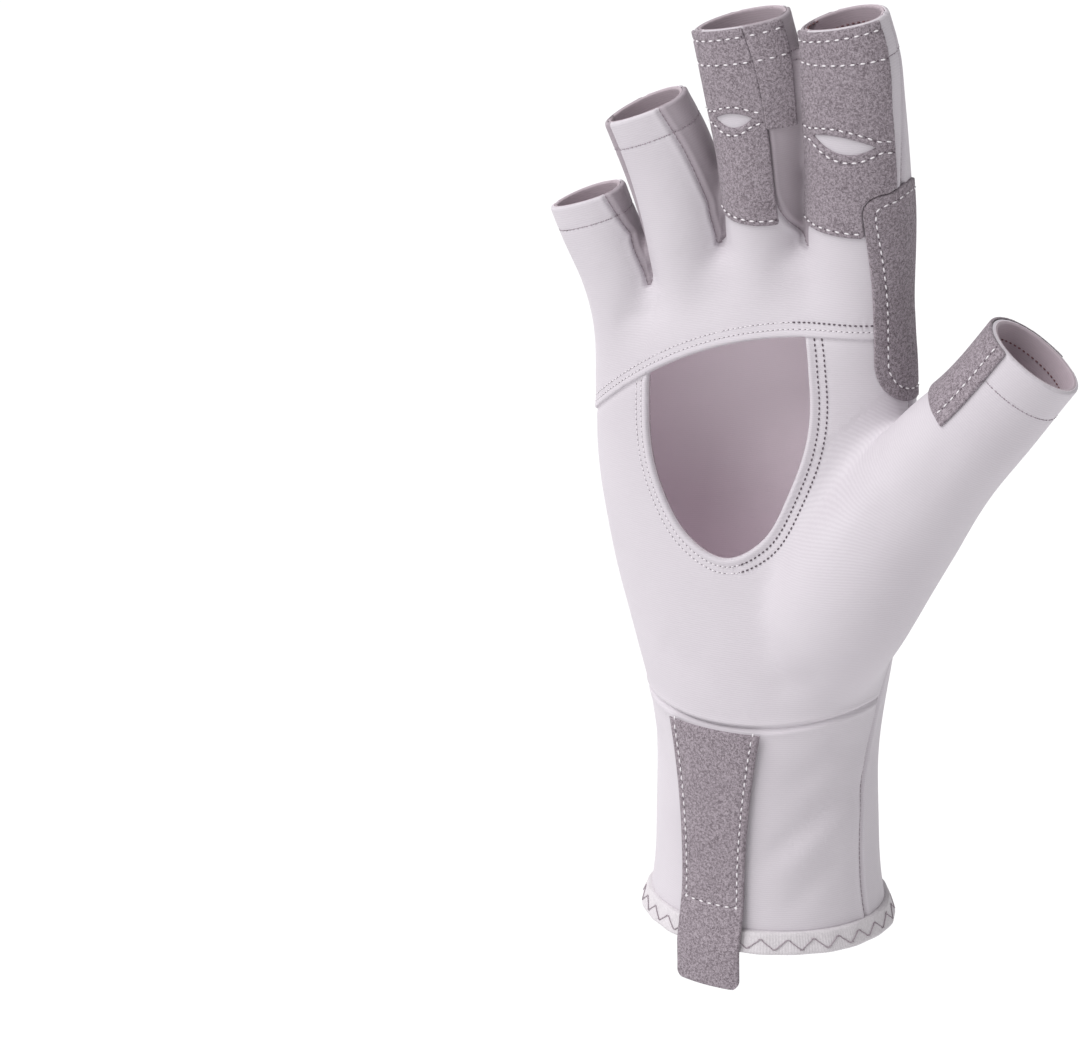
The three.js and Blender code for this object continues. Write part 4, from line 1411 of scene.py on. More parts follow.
class GLOVE_OT_cloth(bpy.types.Operator):
    """Makes the pieces of knit cloth"""

    bl_idname = "glove.cloth"
    bl_label = "Cloth"

    def execute(self, context):
        skin = made_skin(context)
        cutting = context.scene.glove_cut
        sewing = context.scene.glove_sewing
        data, faces, labels = MADE["pieces"]
        points, normals = data[:, :3], unit(data[:, 3:6])
        arc_line, other_seams = arc_and_other_seams(data, faces, labels)
        seams = distances(points, other_seams, 4 * MM)
        rims = distances(points, line_points(points, border(faces)), 4 * MM)
        height = seam_shape(seams, cutting)
        arc = distances(points, arc_line, 4 * MM)
        above = data[:, COLUMN["arc"]] >= 0
        fold = FOLD["height"] * bell(arc, FOLD["width"]) - edge_drop(arc, FOLD["round"])
        under = UNDER["height"] * bell(arc, UNDER["width"])
        height += np.where(above, fold, under)
        rows = cloth_rows(skin, data, sewing)
        for row in rows:
            dip = row_dip(row["values"], row["level"], sewing.dip)
            height -= np.where(row["mask"] > 0, dip, 0)
        opening = -data[:, COLUMN["opening"]]
        lip = LIP["height"] * bell(opening - LIP["place"], LIP["width"])
        height += np.where((opening > 0) & (data[:, COLUMN["arc"]] < 0), lip, 0)
        roll = edge_drop(rims, ROUND["cloth"] * cutting.cloth)
        outer = points + normals * (height - roll)[:, None]
        inner = points + normals * (height - cutting.cloth)[:, None]
        for row in rows:
            on = faces[np.isin(labels, [LABEL[name] for name in row["pieces"]])]
            lines = contour(outer, normals, on, row["values"], row["level"], row["mask"])
            sew(row["style"], lines)
        # The side seams get a dark line: painted shade in the groove, with the thread
        sew("seam", groove_shade_lines(data, outer, normals, faces, labels))
        course = courses(skin, points)
        for name in CLOTH:
            mine = faces[labels == LABEL[name]]
            used, index = np.unique(mine, return_inverse=True)
            mesh = shelled(outer[used], inner[used], index.reshape(-1, 3))
            strip = name not in CLOTH_NODES
            node = "fourchette_" + name if strip else CLOTH_NODES[name]
            slot = "fourchette_knit" if strip else "knit"
            # Strips take the knit darkened with painted shade between the fingers
            material = knit_material(context, "strip" if strip else "knit")
            along = np.tile(course[used], 2)
            publish(context, "cloth_" + name, *mesh, material, node, slot, along)
        return {"FINISHED"}


def arc_and_other_seams(data, faces, labels):
    """Close points along the arc seam, and along every other seam."""
    points = data[:, :3]
    palm = np.isin(labels, [LABEL["upper"], LABEL["lower"]])
    arc = label_borders(faces[palm], labels[palm])
    rest = label_borders(faces, np.where(palm, LABEL["lower"], labels))
    rim = border(faces)
    on_arc = np.abs(data[rim, COLUMN["arc"]]).max(axis=1) < 1e-7
    arc = np.vstack([arc, rim[on_arc]])
    return line_points(points, arc), line_points(points, rest)


# Rows beside the arc seam and the opening: where the thread turns dark, to the side, and
# over what length it changes
TURNS_DARK = {"arc_low": 14.5 * MM, "arc_high": 12.5 * MM, "opening": 12 * MM, "over": 1 * MM}

# Rows beside the opening lie wider towards the thumb: from where, over what, and how much
WIDER = {"from": -15 * MM, "over": 30 * MM, "by": 1.3}


def cloth_rows(skin, data, sewing):
    """Rows of stitches on the knit cloth: what they follow, where, on what and how sewn."""
    x, z = data[:, 0], data[:, 2]
    arc = data[:, COLUMN["arc"]]
    spread = mix(1.0, WIDER["by"], eased((x - WIDER["from"]) / WIDER["over"]))
    edge = -data[:, COLUMN["opening"]] / spread
    below = -arc - 0.4 * MM
    right = eased((x + z * 0.1 - TURNS_DARK["opening"]) / TURNS_DARK["over"]) - 0.5
    columns = "values level mask pieces style"
    rows = []
    for side, styles in ((-1, ("cover", "cover")), (1, ("cover", "dark"))):
        for name, style in zip(("arc_low", "arc_high"), styles):
            beyond = eased((x - TURNS_DARK[name]) / TURNS_DARK["over"]) - 0.5
            rows += table(columns, (arc, getattr(sewing, name), side * beyond, ["upper"], style))
    for level in (sewing.opening_near, sewing.opening_far):
        rows += table(
            columns,
            (edge, level, np.minimum(below, -right), ["lower"], "cover"),
            (edge, level, np.minimum(below, right), ["lower"], "dark"),
        )
    for name, distance in HEM_ROWS.items():
        local = skin.limbs[name].local(data[:, :3])
        mask = np.minimum(0.3 - np.abs(local["out"] - 1), local["up"] - 0.5)
        rows += table(columns, (-local["past"], distance, mask, CLOTH, "hem"))
    return rows


def groove_shade_lines(data, outer, normals, faces, labels):
    """A dark line along the groove of the side seams: the thread, and painted shade in the groove.
    """
    palm = np.isin(labels, [LABEL["upper"], LABEL["lower"], LABEL["cuff"]])
    edges = label_borders(faces, np.where(palm, LABEL["lower"], labels))
    return trimmed(chained(outer, normals, edges))


def trimmed(lines, ends=4, shortest=14):
    """Long lines without their ends."""
    return [line[ends:-ends] for line in lines if len(line) > shortest]


def chained(points, normals, edges):
    """Edges put together into even lines."""
    near = {}
    for a, b in edges:
        near.setdefault(a, []).append(b)
        near.setdefault(b, []).append(a)
    lines = [
        even_line(np.hstack([points[chain], normals[chain]]))
        for chain in walked(near, sorted(near, key=lambda i: len(near[i])))
        if len(chain) > 6
    ]
    return [line for line in lines if line is not None]


def layer(data, faces, top, foot, top_round=0.0, foot_round=0.0, dips=0.0):
    """A closed layer between two heights over the skin, with its edges rounded."""
    points, normals = data[:, :3], unit(data[:, 3:6])
    rims = distances(points, line_points(points, border(faces)), 3 * MM)
    upper = top - dips - (edge_drop(rims, top_round) if top_round else 0)
    lower = foot + (edge_drop(rims, foot_round) if foot_round else 0)
    outer = points + normals * (np.zeros(len(points)) + upper)[:, None]
    inner = points + normals * (np.zeros(len(points)) + lower)[:, None]
    return shelled(outer, inner, faces)


def region(data, faces, values):
    """The part of the skin where the given values are positive, fine along its edge."""
    chosen = (values > -3 * MM)[faces].any(axis=1)
    data = np.column_stack([data, values])
    data, faces, labels = kept(data, faces, np.zeros(len(faces), int), chosen)
    data, faces, labels = cut(data, faces, labels, data.shape[1] - 1, 0, 1)
    data, faces, labels = kept(data, faces, labels, labels == 1)
    if not len(faces):
        raise RuntimeError("a region of the skin is empty")
    lines = line_points(data[:, :3], border(faces))
    data, faces, _ = refined(data, faces, labels, lines, EDGE_REACH, EDGE_GRAIN)
    return data[:, :-1], faces


# Height of the row inside a mouth, as a share of its hem
INNER_ROW = 0.55


class GLOVE_OT_hems(bpy.types.Operator):
    """Turns the cloth in at the finger, thumb and cuff mouths"""

    bl_idname = "glove.hems"
    bl_label = "Hems"

    def execute(self, context):
        skin = made_skin(context)
        cutting = context.scene.glove_cut
        data, faces = MADE["whole"]
        points = data[:, :3]
        top = -cutting.cloth - 0.02 * MM
        for name, limb in skin.limbs.items():
            local = limb.local(points)
            height = cutting.thumb_hem if name == "thumb" else cutting.finger_hem
            near = np.where(np.abs(local["out"] - 1) < 0.35, 1.0, -1.0) * 5 * MM
            values = np.minimum(local["past"] + height, near)
            part, part_faces = region(data, faces, values)
            low = top - cutting.hem_cloth
            mesh = layer(part, part_faces, top, low, 0, ROUND["hem"] * cutting.hem_cloth)
            course = np.tile(courses(skin, part[:, :3]), 2)
            # The turned-in hem takes the darker knit: painted shade inside the mouth
            material = knit_material(context, "inside")
            publish(context, name + "_mouth", *mesh, material, name + "_hem", "knit", course)
            normals = unit(part[:, 3:6])
            inside = part[:, :3] + normals * (top - cutting.hem_cloth)
            past = -limb.local(part[:, :3])["past"]
            level = INNER_ROW * height
            sew("inner", contour(inside, -normals, part_faces, past, level))
        make_cuff_hem(context, skin)
        values = np.minimum.reduce([
            data[:, COLUMN["opening"]] + cutting.binding_width,
            -data[:, COLUMN["opening"]],
            -data[:, COLUMN["arc"]],
        ])
        part, part_faces = region(data, faces, values)
        low, turn = top - cutting.hem_cloth, ROUND["opening"] * cutting.hem_cloth
        mesh = layer(part, part_faces, top, low, 0, turn)
        course = np.tile(part[:, 2], 2)
        # The opening's doubled edge takes the same darker knit with painted shade
        material = knit_material(context, "inside")
        publish(context, "opening_edge", *mesh, material, "opening_binding", "knit", course)
        return {"FINISHED"}


# The cuff's tape: counts of points round the cuff, of ribs, of levels on its outer face,
# at its turn and on its inner face, the height of a rib, how far it stands off and flares,
# and the waves of its sway
TAPE = {
    "around": 1040,
    "ribs": 260,
    "outer": 9,
    "turn": 9,
    "inner": 6,
    "rib": 0.05 * MM,
    "off": 0.6 * MM,
    "flare": 0.9 * MM,
}
SWAY = table("height waves start", (0.3 * MM, 9, 1), (0.2 * MM, 23, 0))


def tape_profile(cutting):
    """Offsets and heights round the tape's section, from the top of its outer face."""
    outside, inside = cutting.hem_tape, -cutting.cloth - cutting.hem_tape
    middle, half = (outside + inside) / 2, (outside - inside) / 2
    top = cutting.cuff_hem
    profile = [
        (outside - 0.45 * MM, top),
        (outside - 0.1 * MM, top - 0.15 * MM),
        (outside, top - 0.5 * MM),
    ]
    levels = np.linspace(top - 1.0 * MM, half + 0.2 * MM, TAPE["outer"])
    profile += [(outside, z) for z in levels]
    for turn in np.linspace(0, math.pi, TAPE["turn"]):
        profile.append((middle + half * math.cos(turn), half - half * math.sin(turn)))
    levels = np.linspace(half + 0.4 * MM, top - 0.3 * MM, TAPE["inner"])
    profile += [(inside, z) for z in levels]
    return profile + [(inside + 0.25 * MM, top), (middle, top)], middle


def make_cuff_hem(context, skin):
    """Ribbed tape folded over the cuff's edge, with its zigzag."""
    cutting = context.scene.glove_cut
    sewing = context.scene.glove_sewing
    top = cutting.cuff_hem
    profile, middle = tape_profile(cutting)
    turns = around(TAPE["around"])
    sway = sum(row["height"] * np.sin(turns * row["waves"] + row["start"]) for row in SWAY)
    ribs = TAPE["rib"] * np.cos(turns * TAPE["ribs"])
    rings = []
    for offset, height in profile:
        flare = TAPE["flare"] * (1 - height / top) ** 1.5
        spread = offset + (flare + sway * 0.5 + ribs * (offset > middle))
        ring = skin.body.ring(np.array([max(height, 0.0)]), turns)[0]
        rings.append(ring + unit(ring * [1, 1, 0]) * (spread + TAPE["off"])[:, None])
    rings = np.array(rings)
    levels, count, _ = rings.shape
    a, b, c, d = quads(levels, count, round_levels=True)
    mesh = rings.reshape(-1, 3), halved(a, d, c, b)
    publish(context, "cuff_tape", *mesh, tape_material(context), "cuff_hem", "hem_tape")
    face = rings[3:3 + TAPE["outer"]]
    ring = np.vstack([face[4], face[4][:1]])
    around_cuff = np.linalg.norm(np.diff(ring, axis=0), axis=1).sum()
    periods = round(around_cuff / sewing.zigzag)
    rise = np.abs((np.arange(count) * periods / count) % 1 * 2 - 1)
    wanted = (top - sewing.zigzag_height) / 2 + sewing.zigzag_height * rise
    heights = face[:, 0, 2]
    line = np.array([
        [np.interp(-wanted[at], -heights, face[:, at, axis]) for axis in range(3)]
        for at in range(count)
    ])
    normals = unit(line * [1, 1, 0])
    line += normals * 0.1 * MM
    line[:, 2] = wanted
    rows = np.hstack([line, normals])
    sew("zigzag", [np.vstack([rows, rows[:1]])])


# The suede at the hand's side: its edge as a share of the palm's breadth, its lean, its
# corner at the foot, how far past the seam its foot lies, the bulges of its upper and
# lower edge near the side (height, from where, over what length), and its far end
SIDE_SUEDE = {
    "edge": 0.355,
    "lean": 2 * MM,
    "foot_corner": 13 * MM,
    "foot": 4.8 * MM,
    "end": 50 * MM,
    "back": 2 * MM,
}
PEAK = {"height": 2.4 * MM, "from": 38.5 * MM, "over": 4 * MM}
TAIL = {"height": 4 * MM, "from": 44.5 * MM, "over": 4 * MM}


def side_patch_values(skin, data):
    """How far inside the suede at the hand's side points lie, without and with its
    borders to thumb and back."""
    form, cutting, shape = skin.form, skin.cutting, SIDE_SUEDE
    x, y, z = data[:, :3].T
    peak, tail = (row["height"] * eased((x - row["from"]) / row["over"]) for row in (PEAK, TAIL))
    top = form.knuckle_height + cutting.side_rise
    foot = top - cutting.side_patch - shape["foot"]
    lean = shape["lean"] * eased((top - z) / (0.6 * cutting.side_patch))
    across = x - form.palm_breadth * shape["edge"] - lean
    upper = eased((z - foot - 0.015) / 0.01)
    corner = mix(shape["foot_corner"], cutting.side_corner, upper)
    level = np.minimum(top + peak - z, z - foot - tail)
    outward = np.hypot(np.maximum(corner - across, 0), np.maximum(corner - level, 0))
    edge = np.minimum(corner - outward, np.minimum(across, level))
    thumb = skin.limbs["thumb"].local(data[:, :3])
    off_thumb = (thumb["out"] - 0.97) * thumb["half_width"]
    off_thumb = np.where(thumb["up"] > 1.3, FAR, off_thumb)
    return edge, np.minimum.reduce([edge, off_thumb, shape["back"] - y, shape["end"] - x])


def finger_patch_values(skin, data, name, long, left, right):
    """How far inside a strip of suede on a finger's front points lie."""
    at = skin.limbs[name].local(data[:, :3])
    low = 1 - long / skin.limbs[name].reach
    up = np.clip((at["up"] - low) / (1 - low), 0, 1)
    return at, np.minimum.reduce([
        at["across"] - mix(left[0], left[1], up) * at["half_width"],
        mix(right[0], right[1], up) * at["half_width"] - at["across"],
        at["past"] + long,
        -at["deep"] + SUEDE_GAP,
        4 * MM - np.abs(at["out"] - 1) * at["half_width"],
        -at["past"] - MOUTH_GAP,
    ])


# Edge of the thumb's suede as a share of the half width, at the front and at the back
THUMB_EDGE = {"front": -0.36, "back": 0.30}


def thumb_edge(at):
    """How far inside the edge of the thumb's suede points lie."""
    place = mix(THUMB_EDGE["front"], THUMB_EDGE["back"], to_back(at))
    return place * at["half_width"] - at["across"]


def slit_values(skin, data, name):
    """How far outside a finger's slit points lie, and the heights above and below it."""
    row = SLITS[name]
    cutting = skin.cutting
    limb = skin.limbs[name]
    at = limb.at([1 - getattr(cutting, name + "_eyelet") / limb.reach])
    x, _, z = data[:, :3].T
    half = getattr(cutting, name + "_slit") / 2
    along = (x - at["centre"][0, 0] - row["shift"] * at["half_width"][0]) / half
    line = at["centre"][0, 2] - np.clip(along, -1.2, 1.2) * row["tilt"] / 2
    lens = np.clip(1 - along ** 2, -0.6, 1)
    above = z - line - row["rise"] * lens
    below = line - row["fall"] * lens - z
    soft = np.clip(1 - along ** 2, -0.15, 1)
    above_row = z - line - row["rise"] * soft
    below_row = line - row["fall"] * soft - z
    return np.maximum(above, below), above_row, below_row


# Edges of the fingers' suede across a finger, at its foot and at its tip, as shares of the
# half width. The middle finger's two pieces meet at the strip's seam, with a lap
SUEDE_EDGES = {
    "index_left": (-0.93, -0.93),
    "index_right": (0.88, 0.92),
    "middle_left": (-0.95, -0.95),
    "beside_right": (0.93, 0.93),
}
SUEDE_LAP = 0.2

# Gap between two pieces of suede, and between suede and a mouth
SUEDE_GAP, MOUTH_GAP = 0.1 * MM, 0.15 * MM

# Dips of the rows in suede, as a share of those in cloth, and how deep the thread lies
SUEDE_DIP, SUNK = 1.3, 0.8


class GLOVE_OT_suede(bpy.types.Operator):
    """Lays the suede on index, middle finger, side of the hand and thumb"""

    bl_idname = "glove.suede"
    bl_label = "Suede"

    def execute(self, context):
        skin = made_skin(context)
        cutting = context.scene.glove_cut
        sewing = context.scene.glove_sewing
        data, faces = MADE["whole"]
        edge, side = side_patch_values(skin, data)
        ends = SUEDE_EDGES
        _, index = finger_patch_values(
            skin, data, "index", cutting.index_patch, ends["index_left"], ends["index_right"]
        )
        slit, _, _ = slit_values(skin, data, "index")
        index = np.minimum.reduce([index, slit, -side - SUEDE_GAP])
        seam = STRIPS[0]["seams"][1]
        borders = (seam["front_root"], seam["front_tip"])
        _, middle = finger_patch_values(
            skin, data, "middle", cutting.middle_patch, ends["middle_left"], borders
        )
        slit, _, _ = slit_values(skin, data, "middle")
        middle = np.minimum(middle, slit)
        left = (borders[0] - SUEDE_LAP, borders[1])
        _, beside = finger_patch_values(
            skin, data, "middle", cutting.middle_side, left, ends["beside_right"]
        )
        at, thumb = finger_patch_values(skin, data, "thumb", cutting.thumb_patch, (-2, -2), (2, 2))
        thumb = np.minimum.reduce([
            thumb_edge(at),
            at["past"] + cutting.thumb_patch,
            12 * MM - np.abs(at["out"] - 1) * at["half_width"],
            -at["past"] - MOUTH_GAP,
            -side - SUEDE_GAP,
        ])
        zones = {
            "index_patch": index,
            "middle_patch": middle,
            "middle_side_patch": beside,
            "index_side_patch": side,
            "thumb_patch": thumb,
        }
        top = cutting.suede_lift + cutting.suede
        for name, values in zones.items():
            part, part_faces = largest(*region(data, faces, values))
            rows = suede_rows(skin, part, name, sewing)
            dip = SUEDE_DIP * sewing.dip
            dips = sum(row_dip(row["values"], row["level"], dip) for row in rows)
            turn = ROUND["suede"] * cutting.suede
            mesh = layer(part, part_faces, top, cutting.suede_lift, turn, 0, dips)
            publish(context, name + "_suede", *mesh, suede_material(context), name, "suede")
            normals = unit(part[:, 3:6])
            face = part[:, :3] + normals * (top - SUNK * sewing.dip)
            rims = distances(part[:, :3], line_points(part[:, :3], border(part_faces)), 3 * MM)
            for row in rows:
                level, clear = row["level"], rims - 0.7 * MM
                lines = contour(face, normals, part_faces, row["values"], level, clear)
                sew("suede", trimmed(lines))
        return {"FINISHED"}


def suede_rows(skin, part, name, sewing):
    """Rows of stitches on one piece of suede: what they follow, and where."""
    cutting = skin.cutting
    if name == "index_side_patch":
        edge, _ = side_patch_values(skin, part)
        return [{"values": edge, "level": sewing.side_row}]
    if name == "thumb_patch":
        edge = thumb_edge(skin.limbs["thumb"].local(part[:, :3]))
        return [{"values": edge, "level": sewing.side_row}]
    finger = name.split("_")[0]
    past = -skin.limbs[finger].local(part[:, :3])["past"]
    rows = [
        {"values": past, "level": sewing.rim_row},
        {"values": past, "level": sewing.hem_row},
    ]
    if name != "middle_side_patch":
        _, above, below = slit_values(skin, part, finger)
        foot = getattr(cutting, finger + "_patch") - sewing.foot_row
        rows += [
            {"values": above, "level": sewing.slit_row},
            {"values": below, "level": sewing.slit_row},
            {"values": past, "level": foot},
        ]
    return rows


# The pull tab: counts of points along and across, how far it stands off the cuff, how far
# and over what share it bends out over the tape, where its box of stitches ends, how far
# below the wrist seam it starts, and from what share up and by what power it flares
TAB = {
    "along": 220,
    "across": 61,
    "off": 0.75 * MM,
    "over_tape": 1.4 * MM,
    "bend": 0.25,
    "box_foot": 12.5 * MM,
    "seam": 0.4 * MM,
    "flare_from": 0.3,
    "flare_power": 1.8,
}


class GLOVE_OT_tab(bpy.types.Operator):
    """Hangs the pull tab from the wrist seam"""

    bl_idname = "glove.tab"
    bl_label = "Pull tab"

    def execute(self, context):
        skin = made_skin(context)
        cutting = context.scene.glove_cut
        sewing = context.scene.glove_sewing
        top = context.scene.glove_form.cuff_length - TAB["seam"]
        foot = -cutting.tab_hang
        heights = np.linspace(top, foot, TAB["along"])
        rise = np.clip((heights / top - TAB["flare_from"]) / (1 - TAB["flare_from"]), 0, 1)
        half = cutting.tab_width / 2 + cutting.tab_flare / 2 * rise ** TAB["flare_power"]
        corner = cutting.tab_corner
        low = np.clip(1 - (heights - foot) / corner, 0, 1)
        narrowed = half - corner * (1 - np.sqrt(1 - low ** 2))
        spread = np.linspace(-1, 1, TAB["across"])
        x = cutting.tab_shift + narrowed[:, None] * spread[None, :]
        z = np.repeat(heights[:, None], len(spread), axis=1)
        lift = cutting.hem_tape + TAB["off"]
        front = skin.body.front(x.ravel(), np.maximum(z, 0).ravel(), lift).reshape(x.shape)
        front -= TAB["over_tape"] * (1 - eased(z / (TAB["bend"] * top)))
        sideways = np.abs(x - cutting.tab_shift)
        inset = half[:, None] - sideways
        up, dip = z - TAB["box_foot"], sewing.dip * SUEDE_DIP
        box = np.where(up > 0, inset, np.hypot(inset, -up) + 1)
        dips = row_dip(box, sewing.tab_row, dip)
        dips += np.where(inset > sewing.tab_row, row_dip(np.abs(up), 0, dip), 0)
        rim = np.minimum(inset, np.minimum(top - z, z - foot))
        drop = edge_drop(rim, ROUND["suede"] * cutting.suede)
        inner = np.stack([x, front, z], -1).reshape(-1, 3)
        thick = (cutting.suede - dips - drop).reshape(-1)
        outer = inner - np.column_stack([0 * thick, thick, 0 * thick])
        a, b, c, d = quads(*x.shape, round_count=False)
        faces = halved(b, a, d, c)
        mesh = shelled(outer, inner, faces)
        publish(context, "tab_suede", *mesh, suede_material(context), "pull_tab", "suede")
        surface = outer, normals_of(outer, faces), faces
        inset, up = inset.ravel(), up.ravel()
        sew("suede", contour(*surface, inset, sewing.tab_row, up))
        sew("suede", contour(*surface, up, 0.0, inset - sewing.tab_row))
        return {"FINISHED"}


# Styles of stitch: spacing, length and radius of a stitch, the colour of its thread, and
# the radius of its holes in millimetres. The holes are dark beads: painted shade in them
STYLES = table(
    "name pitch stitch thread look hole",
    ("suede", "pitch", "stitch", "thread", "thread", 0.26),
    ("cover", "fine_pitch", "fine_stitch", "fine_thread", "thread", 0.17),
    ("dark", "fine_pitch", "fine_stitch", "thread", "dark_thread", 0),
    ("hem", "fine_pitch", "fine_stitch", "fine_thread", "hem_thread", 0.15),
    ("inner", "fine_pitch", "fine_stitch", "thread", "inner_thread", 0),
    # The seam style is a continuous dark line: painted shade in the seam's groove, with its thread
    ("seam", "fine_pitch", "fine_pitch", "fine_thread", "hem_thread", 0),
    ("zigzag", "fine_stitch", "fine_pitch", "fine_thread", "hem_thread", 0),
)


def feed(tree, node, inputs):
    """Sets a node's inputs, which are plain values or outputs of other nodes."""
    for key, value in inputs.items():
        if isinstance(value, bpy.types.NodeSocket):
            tree.links.new(value, node.inputs[key])
        else:
            node.inputs[key].default_value = value


def joint(tree, kind, inputs=None, **settings):
    """A node with its settings and inputs."""
    node = tree.nodes.new(kind)
    for name, value in settings.items():
        setattr(node, name, value)
    feed(tree, node, inputs or {})
    return node


def maths(tree, operation, *values):
    """The result of a sum."""
    inputs = dict(enumerate(values))
    return joint(tree, "ShaderNodeMath", inputs, operation=operation).outputs[0]


def stitch_tree():
    """Beads set along lines at an even pitch, turned along the line and to the surface."""
    tree = bpy.data.node_groups.get("Row of stitches")
    if tree:
        return tree
    tree = bpy.data.node_groups.new("Row of stitches", "GeometryNodeTree")
    face = tree.interface
    face.new_socket("Lines", in_out="INPUT", socket_type="NodeSocketGeometry")
    for name in ("Pitch", "Length", "Width", "Height", "Shift", "Lift", "Turn"):
        face.new_socket(name, in_out="INPUT", socket_type="NodeSocketFloat")
    face.new_socket("Seed", in_out="INPUT", socket_type="NodeSocketInt")
    face.new_socket("Look", in_out="INPUT", socket_type="NodeSocketMaterial")
    face.new_socket("Stitches", in_out="OUTPUT", socket_type="NodeSocketGeometry")
    into = joint(tree, "NodeGroupInput").outputs

    def made(kind, inputs=None, output=0, **settings):
        return joint(tree, kind, inputs, **settings).outputs[output]

    curve = made("GeometryNodeMeshToCurve", {"Mesh": into["Lines"]})
    places = {"Curve": curve, "Length": into["Pitch"]}
    even = made("GeometryNodeResampleCurve", places, mode="LENGTH")
    bead = made("GeometryNodeMeshUVSphere", {"Segments": 6, "Rings": 5, "Radius": 1.0}, "Mesh")
    halves = [maths(tree, "MULTIPLY", into[name], 0.5) for name in ("Length", "Width", "Height")]
    size = made("ShaderNodeCombineXYZ", dict(zip("XYZ", halves)))
    place = made("ShaderNodeCombineXYZ", {"X": into["Shift"], "Z": into["Lift"]})
    shape = {"Geometry": bead, "Scale": size, "Translation": place}
    shaped = made("GeometryNodeTransform", shape)
    tangent = made("GeometryNodeInputTangent")
    along = made("FunctionNodeAlignRotationToVector", {"Vector": tangent}, axis="X")
    out = made("GeometryNodeInputNamedAttribute", {"Name": "out"}, data_type="FLOAT_VECTOR")
    upright = made(
        "FunctionNodeAlignRotationToVector",
        {"Rotation": along, "Vector": out},
        axis="Z",
        pivot_axis="X",
    )
    least = maths(tree, "MULTIPLY", into["Turn"], -1.0)
    limits = {2: least, 3: into["Turn"], "Seed": into["Seed"]}
    chance = made("FunctionNodeRandomValue", limits, 1, data_type="FLOAT")
    swing = made("FunctionNodeAxisAngleToRotation", {"Axis": (0, 0, 1), "Angle": chance})
    both = {"Rotation": upright, "Rotate By": swing}
    turned = made("FunctionNodeRotateRotation", both, rotation_space="LOCAL")
    spread = made(
        "GeometryNodeInstanceOnPoints", {"Points": even, "Instance": shaped, "Rotation": turned}
    )
    real = made("GeometryNodeRealizeInstances", {"Geometry": spread})
    look = made("GeometryNodeSetMaterial", {"Geometry": real, "Material": into["Look"]})
    joint(tree, "NodeGroupOutput", {"Stitches": look})
    return tree


def stitched(context, name, lines, values):
    """A plain mesh of stitches along lines, made by the tree."""
    points = np.vstack([line[:, :3] for line in lines])
    out = np.vstack([line[:, 3:] for line in lines])
    edges, first = [], 0
    for line in lines:
        edges += [(first + i, first + i + 1) for i in range(len(line) - 1)]
        first += len(line)
    path = bpy.data.meshes.new(name + "_path")
    path.from_pydata(points.tolist(), edges, [])
    attribute = path.attributes.new("out", "FLOAT_VECTOR", "POINT")
    attribute.data.foreach_set("vector", unit(out).astype(np.float32).ravel())
    thing = bpy.data.objects.new(name, path)
    context.scene.collection.objects.link(thing)
    modifier = thing.modifiers.new("stitches", "NODES")
    tree = stitch_tree()
    modifier.node_group = tree
    for item in tree.interface.items_tree:
        if item.name in values:
            modifier[item.identifier] = values[item.name]
    graph = context.evaluated_depsgraph_get()
    mesh = bpy.data.meshes.new_from_object(thing.evaluated_get(graph))
    thing.modifiers.remove(modifier)
    thing.data = mesh
    bpy.data.meshes.remove(path)
    mesh.name = name
    mesh.polygons.foreach_set("use_smooth", np.ones(len(mesh.polygons), bool))
    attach(thing, "root")
    return thing


# Most turn of a stitch out of its row, and the length, width and height of a hole's painted shade
# by its radius
SWING = 0.14
HOLE_SHADE = {"Length": 2.2, "Width": 2, "Height": 0.8}


class GLOVE_OT_stitches(bpy.types.Operator):
    """Sews every row of stitches"""

    bl_idname = "glove.stitches"
    bl_label = "Stitches"

    def execute(self, context):
        sewing = context.scene.glove_sewing
        for seed, style in enumerate(STYLES):
            name = style["name"]
            lines = SEAMS.get(name, [])
            if not lines:
                raise RuntimeError("no line was kept for the stitches " + name)
            pitch = getattr(sewing, style["pitch"])
            thread = getattr(sewing, style["thread"])
            values = {
                "Pitch": pitch,
                "Length": getattr(sewing, style["stitch"]),
                "Width": 2 * thread,
                "Height": 2 * thread,
                "Shift": 0.0,
                "Lift": 0.5 * thread,
                "Turn": SWING,
                "Seed": seed,
                "Look": thread_material(context, style["look"]),
            }
            stitched(context, "stitches_" + name, lines, values)
            # Dark beads between the stitches paint the shade in the needle holes
            if style["hole"]:
                hole = style["hole"] * MM
                values.update({side: part * hole for side, part in HOLE_SHADE.items()})
                values.update({"Shift": pitch / 2, "Lift": 0.0, "Turn": 0.0})
                values["Look"] = thread_material(context, "dark_thread")
                stitched(context, "holes_" + name, lines, values)
        return {"FINISHED"}


def group_with(name, inputs, outputs):
    """An empty shader group with number inputs and outputs, and its inside ends."""
    group = bpy.data.node_groups.new(name, "ShaderNodeTree")
    for label, default in inputs.items():
        socket = group.interface.new_socket(label, in_out="INPUT", socket_type="NodeSocketFloat")
        socket.default_value = default
    for label in outputs:
        group.interface.new_socket(label, in_out="OUTPUT", socket_type="NodeSocketFloat")
    return group, joint(group, "NodeGroupInput").outputs, joint(group, "NodeGroupOutput")


